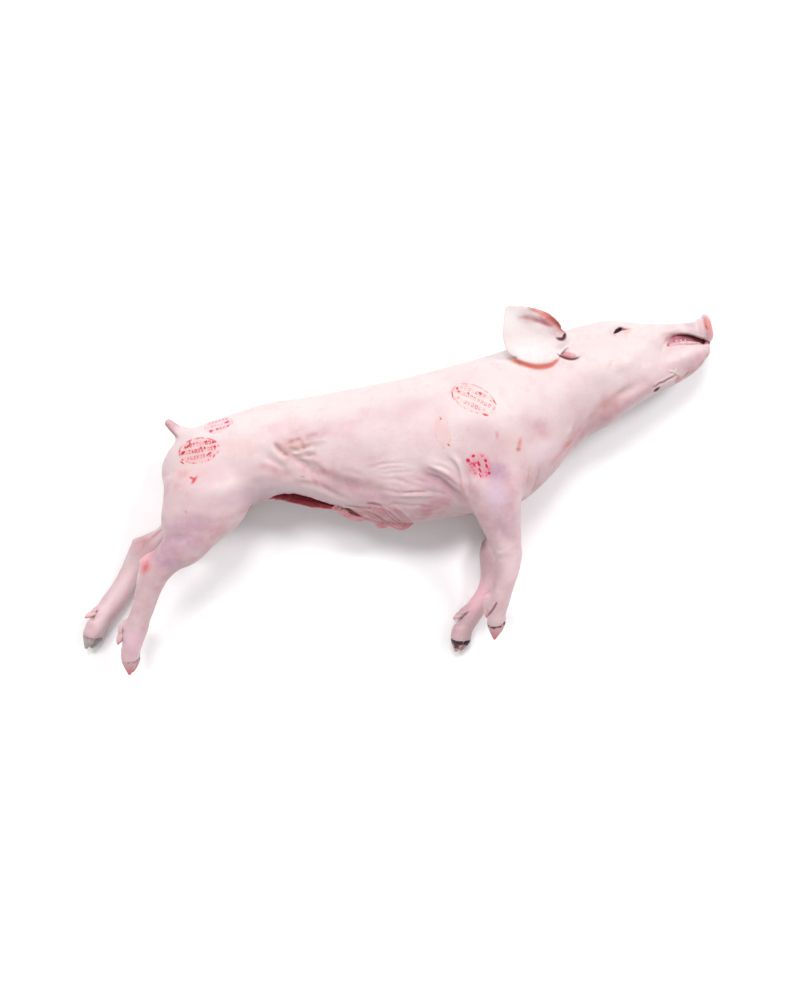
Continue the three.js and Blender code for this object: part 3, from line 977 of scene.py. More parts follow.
def relief(points, normals):
    """Relief of the whole skin in mm along its normals."""
    upper = smooth(normals[:, 2], -0.05, 0.5)
    reach, _, height = ear_place(points, RIGHT_EAR)
    off_ear = 1 - smooth(reach, 1.06, 1.0) * smooth(height, -7, -5)
    total = np.zeros(len(points))
    for path, width, depth, left, right in FOLDS:
        total += fold(points, path, width, depth, left, right)
    for *spot, rise in SWELLS:
        total += rise * (1 - smooth(in_plan(points, *spot), 0.0, 1.0))
    total *= upper * off_ear
    ears_and_eyes = ear_relief(points, normals) + eye_relief(points, normals)
    return total + (ears_and_eyes + snout_relief(points) + lip_relief(points))


# ---- building the skin


def cutter(name, stations, tilt=0.0):
    """A closed loft to be cut away."""
    return mesh_object(name, [limb(stations, 24, 60, tilt)])


def nostril_cutters():
    """Two short oval plugs through the front of the disc."""
    shells = []
    for hand in (-1, 1):
        stations = [
            [550, -14, SNOUT_LEVEL + 7.2 * hand, 1.6, 1.6],
            [553, -14.4, SNOUT_LEVEL + 7.7 * hand, 3.4, 2.9],
            [559, -15, SNOUT_LEVEL + 8.2 * hand, 4.6, 3.6],
            [567, -15.4, SNOUT_LEVEL + 8.5 * hand, 5.0, 3.9],
        ]
        shells.append(limb(stations, 16, 10))
    return mesh_object("nostril_cutters", shells)


def skin_shells():
    """Every loft that the skin is joined from."""
    shells = [
        barrel(TRUNK, 96, 230),
        barrel(TRUNK[-8:], 72, 70, fullness=2.8),
        barrel(CHEEK, 56, 50),
        barrel(JAW, 64, 70, fullness=2.5),
        limb(TAIL, 24, 40),
    ]
    shells += [limb(stations, 40, 130) for stations in LEGS.values()]
    shells += [limb(stations, 24, 24) for stations in HOCKS.values()]
    for name in FEET:
        shells += toes(name)
    for ear in (RIGHT_EAR, flattened(RIGHT_EAR)):
        shells += [ear_sheet(ear["rim"], ear["middle"]), limb(ear["stub"], 28, 24)]
    return shells


def fill_hollows(made, strength, rounds):
    """Fills hollows and leaves swells: each point moves out along its normal by what its neighbours'
    mean stands above it, times the strength given at each point."""
    mesh = made.data
    edges = edges_of(mesh)
    points = points_of(mesh)
    for step in range(rounds):
        if step % 6 == 0:
            place(mesh, points)
            normals = normals_of(mesh)
        lift = ((mean_of_neighbours(points, edges) - points) * normals).sum(1)
        points = points + normals * (np.clip(lift, 0, None) * strength)[:, None]
    place(mesh, points)


def kept_sharp(points):
    """Share by which a point may be filled: 0 at the mouth, ears, cut, shanks and feet, 1 elsewhere."""
    x, y, z = points.T
    mouth = smooth(x, 504, 492)
    ear_area = 1 - smooth(in_plan(points, *EAR_MIDDLE, 46, 44), 1.0, 0.8)
    ear_area = np.maximum(ear_area, smooth(z, 70, 60) * smooth(z, 8, 14))
    shanks = np.where(x > 120, smooth(y, -175, -155), smooth(y, -122, -104) * smooth(x, -42, -24))
    line = drawn(BELLY_CUT, 80)
    cut = np.hypot(y - np.interp(x, line[:, 0], line[:, 1]), 0.8 * (z - 60))
    inside = (x > 66) & (x < 190)
    cut_area = np.where(inside, smooth(cut, 30, 46), 1.0)
    return mouth * ear_area * shanks * cut_area


def fine_places(points):
    """True where the skin needs a finer mesh: face, ears, toes, wrinkled flank, belly and armpit."""
    x, y, z = points.T
    face = (x > 446) & ((z > 44) | (x > 500))
    ear = (x > 394) & (y > -22) & (z > 56) | ((in_plan(points, *EAR_MIDDLE, 40, 40) < 1) & (z > 78))
    toes = (y < -236) & (x > 200) | (x < -92) & (y < -150)
    flank = (z > 66) & (in_plan(points, 118, -50, 36, 30) < 1)
    belly = (z > 64) & (in_plan(points, 200, -108, 54, 32, -18) < 1)
    armpit = (z > 70) & (in_plan(points, 258, -112, 20, 32, 30) < 1)
    chest = (z > 60) & (in_plan(points, 346, -120, 14, 16) < 1)
    return face | ear | toes | flank | belly | armpit | chest


def finest_places(points):
    """True where it needs the finest: eyes, lips, nostrils, the right ear's brow and root, throat."""
    x, _, z = points.T
    eye = (in_plan(points, 466, 1.5, 13, 6) < 1) & (z > 50)
    lips = (x > 506) & (np.abs(mouth_place(points)[0]) < 2.4) & (z > 44)
    disc = (x > 549) & (z > 40)
    brow = (in_plan(points, 394, 26, 20, 9, -50) < 1) & (z > 82)
    canal = (in_plan(points, 403, 6, 7, 7) < 1) & (z > 70)
    crease = (in_plan(points, 408, -14, 15, 4.5, -10) < 1) & (z > 68)
    throat = (in_plan(points, 500, -60, 22, 6, 16) < 1) & (z > 50)
    return eye | lips | disc | brow | canal | crease | throat


def trim_ear(points):
    """Draws the right ear's edge out to its smooth outline: t, how far a point falls short of the
    furthest reach found in its direction, becomes 0.3 t + 0.7 t^2 in breadths of the drawn edge."""
    reach, turn, height = ear_place(points, RIGHT_EAR)
    root, front = smooth(np.abs(turn + 0.4), 0.42, 0.6), smooth(turn, -2.8, -2.5) * smooth(turn, -0.6, -0.8)
    free = root * (1 - front)
    edge = (np.abs(height) < 3.2) & (reach > 0.8) & (reach < 1.12) & (free > 0)
    slot = ((turn + math.pi) / TURN * RIM_SLOTS).astype(int) % RIM_SLOTS
    furthest = np.zeros(RIM_SLOTS)
    np.maximum.at(furthest, slot[edge], reach[edge])
    furthest = np.where(furthest > 0.8, furthest, 1.0)
    furthest = 0.25 * np.roll(furthest, 1) + 0.5 * furthest + 0.25 * np.roll(furthest, -1)
    centres = (np.arange(RIM_SLOTS) + 0.5) / RIM_SLOTS * TURN - math.pi
    outline = np.interp(turn, centres, furthest, period=TURN)
    short = np.clip((1 - reach / outline) / RIM_BREADTH, 0, 1)
    wanted = 1 - RIM_BREADTH * (0.3 * short + 0.7 * short**2)
    share = free * smooth(np.abs(height), 7, 4) * smooth(reach, 1.15, 1.1) * (short < 1)
    scale = 1 + (wanted / np.maximum(reach, 0.1) - 1) * share
    middle = np.array(EAR_MIDDLE, float)
    points[:, :2] = middle + (points[:, :2] - middle) * scale[:, None]
    return points


def thin_out(made, triangles):
    """Merges faces where the skin is broad and plain until it has about so many triangles."""
    points = points_of(made.data)
    x, y, _ = points.T
    legs = (y < -150) | ((x < -35) & (y < -95))
    snout_or_ear = (x > 500) | (in_plan(points, *EAR_MIDDLE, 46, 46) < 1)
    kept = fine_places(points) | legs | snout_or_ear | (cut_place(points)[0] >= 0)
    group = made.vertex_groups.new(name="plain")
    group.add(np.flatnonzero(~kept).tolist(), 1.0, "REPLACE")
    modifier = made.modifiers.new("thin", "DECIMATE")
    modifier.vertex_group = group.name
    modifier.vertex_group_factor = 10.0
    modifier.ratio = min(1.0, triangles / sum(len(p.vertices) - 2 for p in made.data.polygons))
    settle(made)
    made.vertex_groups.clear()


def settle_on_table(points):
    """Rounds the skin off onto the table: z becomes (z + sqrt(z^2 + k^2)) / 2 near it."""
    z = points[:, 2]
    soft = 0.5 * (z + np.sqrt(z**2 + TABLE_ROUNDING**2))
    points[:, 2] = np.where(z < 6, soft, z + (soft - z) * smooth(z, 12, 6))
    return points


def build_skin():
    """The whole skin: joined, cut, eased, refined and given its relief, in mm."""
    made = mesh_object("skin", skin_shells())
    remesh(made, VOXEL)
    carve(made, cutter("belly_cutter", BELLY_CUT, CUT_TILT))
    carve(made, cutter("mouth_cutter", MOUTH))
    carve(made, nostril_cutters())
    remesh(made, VOXEL)
    mesh = made.data
    place(mesh, polish(points_of(mesh), edges_of(mesh), 4))
    fill_hollows(made, FILL_STRENGTH * kept_sharp(points_of(mesh)), FILL_ROUNDS)
    place(mesh, polish(points_of(mesh), edges_of(mesh), 3))
    for places in (fine_places, finest_places):
        refine(mesh, places)
        place(mesh, polish(points_of(mesh), edges_of(mesh), 3))
    points, normals = points_of(mesh), normals_of(mesh)
    points = trim_ear(points + normals * relief(points, normals)[:, None])
    place(mesh, settle_on_table(polish(points, edges_of(mesh), 1)))
    thin_out(made, SKIN_TRIANGLES)
    return made


# ---- colour masks on the skin

# soft places of the upper side in plan: [x, y, half length, half breadth, angle, share]
ROSE = [
    [-20, -60, 34, 34, 0, 0.25],
    [60, -96, 40, 12, 12, 0.3],
    [104, -44, 12, 26, -20, 0.3],
    [130, -68, 44, 18, -45, 0.45],
    [168, -96, 60, 16, -28, 0.5],
    [184, -128, 44, 16, -30, 0.75],
    [236, -134, 40, 14, 4, 0.75],
    [262, -118, 30, 22, -50, 0.5],
    [430, -80, 50, 11, 22, 0.55],
    [468, -64, 34, 8, 14, 0.35],
    [396, -96, 30, 10, 38, 0.6],
    [536, -50, 22, 11, 32, 0.8],
    [356, -120, 18, 22, 20, 0.2],
    [297, -191, 10, 9, 0, 0.2],
    [-30, -116, 26, 15, -40, 0.4],
    [108, -20, 30, 14, 0, 0.3],
    [159, -34, 30, 12, 0, 0.25],
    [152, -88, 46, 15, -32, 0.5],
    [513, -19, 7, 5, 20, 0.6],
    [524, -14, 22, 2.4, -9, 0.45],
    [549, -14, 5, 16, 0, 0.3],
    [-75, -160, 14, 34, 25, 0.3],
    [-66, -104, 16, 14, 30, 0.75],
    [-66, -119, 10, 8, 60, 0.7],
    [464, 1, 16, 8, 0, 0.22],
    [28, -98, 40, 12, 20, 0.25],
    [12, -108, 34, 10, 12, 0.5],
    [0, -97, 32, 14, -10, 0.4],
    [372, 33, 13, 5, -22, 0.5],
    [398, 16, 8, 8, 0, 0.35],
]
LILAC = [
    [309, -112, 17, 12, -20, 0.9],
    [304, -154, 22, 36, 0, 0.55],
    [300, -170, 14, 20, 0, 0.3],
    [354, -112, 16, 18, 0, 0.2],
    [-38, -118, 26, 17, -40, 0.8],
    [-16, -108, 26, 14, -20, 0.7],
    [-6, -93, 34, 14, -10, 0.6],
    [60, -78, 50, 16, 0, 0.4],
    [120, -34, 30, 12, 0, 0.2],
    [168, -100, 44, 12, -30, 0.25],
    [246, -108, 24, 14, -45, 0.55],
    [272, -236, 14, 30, 30, 0.25],
    [528, -46, 18, 9, 30, 0.3],
    [497, -71, 18, 6, 16, 0.4],
    [470, -70, 26, 6, 16, 0.3],
    [538, -9, 8, 12, 0, 0.45],
]
# amber places; the first, at the ear's lower tip, is painted glow over the shadow there
AMBER = [
    [347, 1, 5, 7, 10, 0.3],
    [444.5, -31.5, 1.8, 7, -38, 0.5],
    [116, -38, 26, 10, 0, 0.35],
    [108, -36, 8, 5, 0, 0.4],
    [104, -45, 4, 3, -30, 0.6],
    [62, -28, 20, 14, 0, 0.2],
    [322, -84, 14, 8, 0, 0.2],
    [440, -66, 20, 6, 18, 0.25],
    [516, -10, 14, 8, 0, 0.18],
    [471, -2, 6, 2.4, 5, 0.35],
    [534, -27.6, 9, 1.6, -8, 0.9],
    [8, -36, 26, 20, 0, 0.14],
]
# pale places: the one on the left hind leg is painted light over the shade cast by the right hind leg
PALE = [
    [160, -4, 200, 26, 0, 0.9],
    [330, -20, 90, 50, 0, 0.75],
    [450, -12, 70, 36, -4, 0.75],
    [285, -121, 12, 17, 20, 0.75],
    [214, -88, 44, 9, -6, 0.3],
    [232, -117, 26, 7, -14, 0.45],
    [40, -66, 60, 9, 3, 0.35],
    [84, -76, 30, 8, -14, 0.5],
    [517, -36, 16, 6, 6, 0.4],
    [-80, -128, 12, 46, 28, 0.6],
    [300, -150, 20, 30, 0, 0.45],
    [302, -30, 30, 20, 0, 0.9],
    [262, -12, 40, 16, 0, 0.9],
    [294, -205, 18, 40, 10, 0.6],
    [352, -114, 20, 16, 10, 0.7],
]
SCARLET = [
    [-1, -42, 8, 6, 0, 0.25],
    [-10, -52, 5, 3, 0, 0.25],
    [183, -18, 3.2, 2.2, 0, 0.35],
    [218, -20, 3.4, 1.4, 80, 0.18],
    [228, -34, 2.6, 2.0, 0, 0.18],
    [151, -9, 4, 2.4, 0, 0.16],
    [431, -69, 10, 4.5, 20, 0.25],
    [418, -76, 9, 3.5, 30, 0.2],
    [384, -101, 9, 3, 36, 0.6],
    [372, -110, 14, 3, 38, 0.35],
    [513, -60.5, 5, 3.4, 26, 0.6],
    [115, -71.5, 3, 1.2, -20, 0.55],
    [126, -79, 5, 2.4, -40, 0.5],
    [180, -135.8, 3.5, 1.3, -20, 0.8],
    [404.5, -11, 7, 3.6, -30, 0.5],
    [-60, -114, 12, 6, 25, 0.5],
    [-64, -122, 10, 11, 20, 0.85],
    [120, -39.5, 5, 1.5, 0, 0.3],
]
# thin lines in plan: path, half the width, share
# dark red lines: those on the chin, flank and armpit, between the claws, at the mouth's corner and behind
# the disc are painted shade in creases; the throat's cut, the torn skin and the tail are their own colour
MAROON_AND_SHADE_LINES = [
    (THROAT_SEAM, 1.2, 0.6),
    (CHIN_SEAM, 1.0, 0.35),
    ([[94, -29], [97, -37], [101.5, -44.4], [107, -48]], 2.4, 0.16),
    ([[148, -109], [164.8, -115.2], [178, -119.5]], 1.4, 0.3),
    (TORN_SEAM, 1.8, 0.45),
    ([[236, -95], [248.6, -106], [256, -115], [263.3, -125], [272, -136]], 6.5, 0.13),
    ([[246, -102], [256, -112.5], [263.3, -122], [274, -137]], 1.6, 0.2),
    (CLAW_SEAMS["right_fore"], 1.3, 0.8),
    (CLAW_SEAMS["left_fore"], 1.2, 0.7),
    (CLAW_SEAMS["left_hind"], 1.2, 0.7),
    (CLAW_SEAMS["right_hind"], 1.2, 0.6),
    ([[-12.6, 15], [-10.6, 9], [-7, 3.6], [-2, -3.7]], 1.8, 0.3),
    ([[509, -24.5], [513, -20.4], [518.5, -15.6], [521, -14.2]], 1.4, 0.6),
    ([[553.2, -11.5], [553.8, -14.5], [555.7, -18.8]], 0.9, 0.6),
]
EAR_FRONT = [
    [346, 1],
    [355.4, -7.5],
    [361.9, -12],
    [369.1, -15.9],
    [377.9, -18],
    [386, -18],
    [392, -15.4],
    [398.5, -11],
]
EAR_BACK = [[374, 43], [380.6, 41], [388, 36.6], [395.5, 29.5], [401, 23], [404.8, 16.5], [407, 9]]
# painted glow of light through the right ear's thin edges, and painted shade under its lower edge
GLOW_AND_SHADE_LINES = [
    (EAR_FRONT, 4.0, 1.0),
    ([[368, 35.8], [378, 32], [388, 26], [398, 19.2]], 3.0, 0.18),
    (EAR_BACK, 4.2, 0.8),
]
# round the ear, all painted shade: darker inside its edge towards the canal, in the furrow, in the crease
# and the line behind it, and round the canal
EAR_CREASE_SHADE = [
    [394, -6.5],
    [397.4, -10.4],
    [401, -13.2],
    [404.6, -15.5],
    [408.6, -16.9],
    [412.6, -17.1],
    [418, -15.8],
]
EAR_SHADE_LINES = [
    ([[394, 32], [399.6, 26], [404, 19.5], [407, 13], [408.6, 6.5]], 2.6, 0.55),
    ([[376, 33.3], [386, 27.4], [392, 23.4], [399, 18.4]], 2.0, 0.25),
    (EAR_CREASE_SHADE, 1.7, 1.0),
    ([[395, -13], [399.2, -9.6], [402.2, -7.4], [405.4, -5.4], [409.5, -3.6]], 1.4, 0.8),
    ([[396.5, 9.5], [401, 5.9], [405, 5.6], [407.4, 8.2], [408.2, 13]], 3.0, 1.0),
]
# pink lines: the ear's three, the one along the crease under the ear, and those in the flank's and belly's
# folds are painted shade in hollows; the tail's and the cut's lips are their own colour
PINK_AND_SHADE_LINES = [
    ([[360, 37.2], [368, 35.8], [376, 33], [386, 27.2], [396, 20.2], [404, 15.5]], 3.6, 1.0),
    ([[384, 36.5], [391, 29], [397, 22.5], [401.5, 16], [404, 9]], 7.5, 1.0),
    ([[396, 14], [400, 11], [404, 12]], 3.4, 0.8),
    (FLANK_SEAMS[0], 2.0, 0.7),
    (FLANK_SEAMS[1], 1.4, 0.6),
    ([[120.8, -50.9], [127.3, -52.4], [133.6, -52.5]], 1.6, 0.5),
    (BELLY_SEAM, 1.3, 0.8),
    ([[-62, -100], [-52, -95.5], [-41, -89]], 2.2, 1.0),
    ([[-13, 17], [-11, 9.6], [-7.4, 3.8], [-1, -5]], 3.4, 0.9),
    ([[399, -8.4], [403, -10.6], [408, -12.8], [415, -14.4]], 4.2, 0.9),
    ([[74, -86], [90, -93], [112, -103], [135, -110]], 2.6, 0.7),
    ([[78, -82], [98, -84.5], [112, -91], [128, -102]], 1.6, 0.6),
]
EAR_LEVEL = 66  # the marks round the ear's root lie above this
UMBER_SPOTS = [
    [119.2, -33.9, 3.4, 2.0, 60, 0.35],
    [122.8, -43.2, 3.4, 2.0, -20, 0.45],
    [103, -45.6, 4.2, 2.0, -30, 0.45],
    [126.2, -52.3, 3.4, 1.8, 0, 0.3],
    [110.5, -35, 4.0, 2.0, 10, 0.3],
    [458, -1.5, 3, 1.6, 30, 0.4],
]


def strongest(*masks):
    """The greatest of several masks at each point."""
    return np.maximum.reduce(masks)


def patches(points, rows):
    """The strongest of several soft oval places, each a share that fades out towards its edge."""
    total = np.zeros(len(points))
    for *spot, share in rows:
        total = np.maximum(total, share * (1 - smooth(in_plan(points, *spot), 0.3, 1.15)))
    return total


def lines(points, rows):
    """The strongest of several soft lines in plan, each fading at its sides and ends."""
    total = np.zeros(len(points))
    for path, width, share in rows:
        d, s = from_path(points, path, width * 1.5)
        half = width * (0.35 + 0.65 * np.sin(np.pi * s))
        across = 1 - smooth(np.abs(d), 0.3 * half, 1.15 * half)
        total = np.maximum(total, share * across * fading(s, 0.15, 0.85))
    return total


def fold_shade_and_highlight(points):
    """Painted shade in the folds' valleys, which makes them rosier, and painted highlight on their ridges
    and on the lips beside the valleys, which makes them paler.
    """
    valley, ridge = np.zeros(len(points)), np.zeros(len(points))
    for path, width, depth, left, right in FOLDS:
        d, s = from_path(points, path, 4 * width)
        ends = fading(s, 0.3, 0.7) * min(abs(depth) / 2.0, 1.0)
        floor = ends * bell(d, width)
        if depth > 0:
            valley = np.maximum(valley, floor)
            ridge = np.maximum(ridge, ends * beside(d, width, left, right))
        else:
            ridge = np.maximum(ridge, floor)
    return valley, ridge


def cut_place(points):
    """How deep in the belly cut points lie, 0 at its lips to 1 at its bottom (-1 outside it), how far
    across it, -1 at its lower wall to 1 at its upper, and how many mm below its lower wall."""
    line = drawn(BELLY_CUT, 120)
    x = points[:, 0]
    y0, z0, deep, gape = (np.interp(x, line[:, 0], line[:, k]) for k in (1, 2, 3, 4))
    dy, dz = points[:, 1] - y0, points[:, 2] - z0
    inward = dy * math.cos(CUT_TILT) + dz * math.sin(CUT_TILT)
    across = -dy * math.sin(CUT_TILT) + dz * math.cos(CUT_TILT)
    inside = (x > 76) & (x < 178) & (np.abs(across) < gape + 1.2) & (np.abs(inward) < deep + 2)
    far_in = (inward > 0.35 * deep) & (inward < deep + 8)
    inside |= (x > 80) & (x < 172) & (np.abs(across) < gape + 6) & far_in
    depth = np.where(inside, np.clip(inward / deep, -1, 1) * 0.5 + 0.5, -1.0)
    return depth, across / gape, -across - gape


def cut_masks(points):
    """Where the flesh of the belly cut is bare, and painted shade in it, darkest at the cut's bottom and
    towards its upper wall.
    """
    x, y, z = points.T
    deep, across, beyond = cut_place(points)
    lips = np.array(CUT_LIPS)
    upper_lip, lower_lip = (np.interp(x, lips[:, 0], lips[:, k]) for k in (1, 2))
    lower_wall = smooth(upper_lip - y, -0.8, 0.4) * smooth(y - lower_lip, -4.2, -2.2)
    lower_wall *= (z < 66) * smooth(x, 79, 82) * smooth(x, 146, 142) * smooth(beyond, 4.5, 2.5)
    flesh = np.maximum(deep >= 0, lower_wall)
    return flesh, 0.4 * smooth(deep, 0.3, 0.9) + 0.1 * flesh * smooth(across, 0.2, 0.9)


def mouth_masks(points):
    """Inside the mouth: how far in points are, and painted shade there, darkest under the upper lip and
    towards the snout.
    """
    gap, share = mouth_place(points)
    x = points[:, 0]
    inside = smooth(gap, 0.5, -0.5) * smooth(x, 508, 511) * smooth(x, 559, 556)
    roof = smooth(share, -0.1, 0.7)
    return inside, inside * (0.1 + 0.65 * smooth(x, 522, 548)) * (0.2 + 0.8 * roof)


def eye_masks(points, normals):
    """How dark the eyes' slits are, and how amber they are towards their front corners."""
    x = points[:, 0]
    _, s, gap = eye_gap(points)
    outer = smooth(normals[:, 2] * side_of_head(points), -0.3, 0.0)
    slit = smooth(gap, 0.9, -0.1) * outer * (x < 478) * (x > 455)
    return slit * smooth(s, 0.95, 0.5), slit * smooth(s, 0.5, 0.7)


def hole_shade_mask(points, normals):
    """Painted shade in the right ear's canal, the nostrils and the hole in the throat: how dark each is."""
    x, y, z = points.T
    d, s = from_path(points, EAR_CANAL, 12)
    canal = (1 - smooth(np.abs(d) - 0.7 * s, 0.2, 1.3)) * fading(s, 0.12, 0.9)
    nostril = np.hypot((y + 15) / 4.6, (np.abs(z - SNOUT_LEVEL) - 8.1) / 4.0)
    in_snout = (x > 548) & (np.abs(normals[:, 0]) < 0.95)
    nostrils = smooth(nostril, 1.15, 0.75) * in_snout * smooth(x, 558.5, 556.5)
    throat = 1 - smooth(in_plan(points, *THROAT_HOLE), 0.6, 1.2)
    throat = 0.8 * throat * smooth(normals[:, 2], -0.3, 0.0) * (z > 40)
    return strongest(0.75 * canal * (z > EAR_LEVEL), nostrils, throat)


def glow_shade_and_disc_mask(points, ear, on_ear, up):
    """Painted glow and shade in orange red round the right ear: glow through its thin edges and side wall,
    and shade under its lower edge; and the salmon side of the disc, which is the snout's own colour.
    """
    reach, turn, height = ear
    near_ear = smooth(height, -16, -12)
    # painted glow on the ear's side wall, and painted shade on the skin just under its lower edge
    low_rim = on_ear * smooth(reach, 0.93, 0.98) * smooth(up, 0.8, 0.4)
    below = smooth(height, -0.6, -2.2) * near_ear * smooth(reach, 0.88, 0.95) * smooth(reach, 1.2, 1.05)
    belly_side = smooth(turn, -0.45, -0.75) * smooth(turn, -2.8, -2.45)
    disc = 1 - smooth(in_plan(points, 556, -11.5, 5, 11, 8), 0.4, 1.1)
    edges = lines(points, GLOW_AND_SHADE_LINES) * near_ear
    return strongest(edges, 0.3 * disc * (points[:, 2] > 36), np.maximum(low_rim, below) * belly_side)


def skin_masks(points, normals):
    """The colour masks of the skin, by name."""
    x, y, z = points.T
    up = normals[:, 2]
    upper = smooth(up, -0.15, 0.35)
    ear = ear_place(points, RIGHT_EAR)
    on_ear = smooth(ear[0], 1.1, 1.02) * smooth(ear[2], -6, -3)
    off_ear = 1 - on_ear
    shown = smooth(up, -0.2, 0.2) * off_ear
    # towards the belly and down the legs the skin is rosier than on the back
    belly, legs = smooth(y, -72, -132), smooth(y, -112, -160)
    tail, disc = smooth(y, 4, 12) * smooth(x, 6, 0), smooth(disc_x(points), 549, 554)
    rump = smooth(y, -30, 0) * smooth(x, -10, 20)
    valley, ridge = fold_shade_and_highlight(points)
    # pink lines, part of them painted shade in hollows
    pink = np.maximum(smooth(up, -0.4, 0.1), (x < 2) & (y > -6)) * ((x < 350) | (z > EAR_LEVEL))
    pink = pink * lines(points, PINK_AND_SHADE_LINES)
    # painted shade on the belly beside the dark strip and the fat in the cut
    shade_beside_fat = 1 - smooth(in_plan(points, 157.5, -119, 11, 2.8, -37), 0.5, 1.1)
    stains_and_shade = strongest(lines(points, MAROON_AND_SHADE_LINES), 0.7 * patches(points, UMBER_SPOTS), 0.7 * shade_beside_fat)
    slit, corner = eye_masks(points, normals)
    flesh, cut_shade = cut_masks(points)
    mouth, mouth_shade = mouth_masks(points)
    flushes = strongest(0.4 * belly, 0.18 * legs, 0.6 * tail, 0.25 * disc)
    # paler along the back and on the ear's upper face; on the legs, paleness on their upward faces only,
    # which is painted light
    light = strongest(0.8 * rump, 0.9 * on_ear * smooth(up, 0.0, 0.5), 0.45 * legs * smooth(up, -0.3, 0.3))
    return {
        # rosy places and flushes, with painted shade in the folds' valleys and along the pink lines in
        # hollows
        "rose": strongest(patches(points, ROSE) * upper, flushes, 0.75 * valley * shown, 0.9 * pink),
        "lilac": np.maximum(patches(points, LILAC) * np.maximum(upper, 0.5 * legs), 0.12 * legs),
        "scarlet": patches(points, SCARLET) * smooth(up, 0.0, 0.3) * np.maximum(off_ear, x > 396),
        "amber": np.maximum(patches(points, AMBER) * smooth(up, -0.1, 0.3) * off_ear, corner),
        "maroon_and_shade": np.maximum(stains_and_shade * shown, lines(points, EAR_SHADE_LINES) * (z > EAR_LEVEL)),
        "glow_shade_and_salmon": glow_shade_and_disc_mask(points, ear, on_ear, up),
        # the eyes' slits, and painted shade in holes, in the belly cut and in the mouth
        "dark": strongest(slit, hole_shade_mask(points, normals), cut_shade, mouth_shade),
        "flesh": np.maximum(flesh, 0.8 * mouth),
        # pale places, with painted highlight on the folds' ridges and lips, and painted light on the legs'
        # upward faces
        "pale": strongest(patches(points, PALE) * upper, light, 0.7 * ridge * shown),
        "upper": smooth(up, -0.1, 0.12),
    }


def give_masks(mesh, masks):
    """Stores masks as values at the points of a mesh, for its material to read."""
    for name, values in masks.items():
        attribute = mesh.attributes.new(name, "FLOAT", "POINT")
        attribute.data.foreach_set("value", np.asarray(values, np.float32))


# ---- nodes

FULL_LIGHT = 1.658  # how bright the stage's lights show a level white surface, in shader units


def srgb(red, green, blue, light=1.0):
    """A colour given as it looks on a screen, 0 to 255, in the shader's own light units."""
    c = np.array([red, green, blue]) / 255
    linear = np.where(c <= 0.04045, c / 12.92, ((c + 0.055) / 1.055) ** 2.4)
    return (*(linear / light).tolist(), 1.0)


def tone(red, green, blue):
    """A colour given as it looks in the room's full light."""
    return srgb(red, green, blue, FULL_LIGHT)


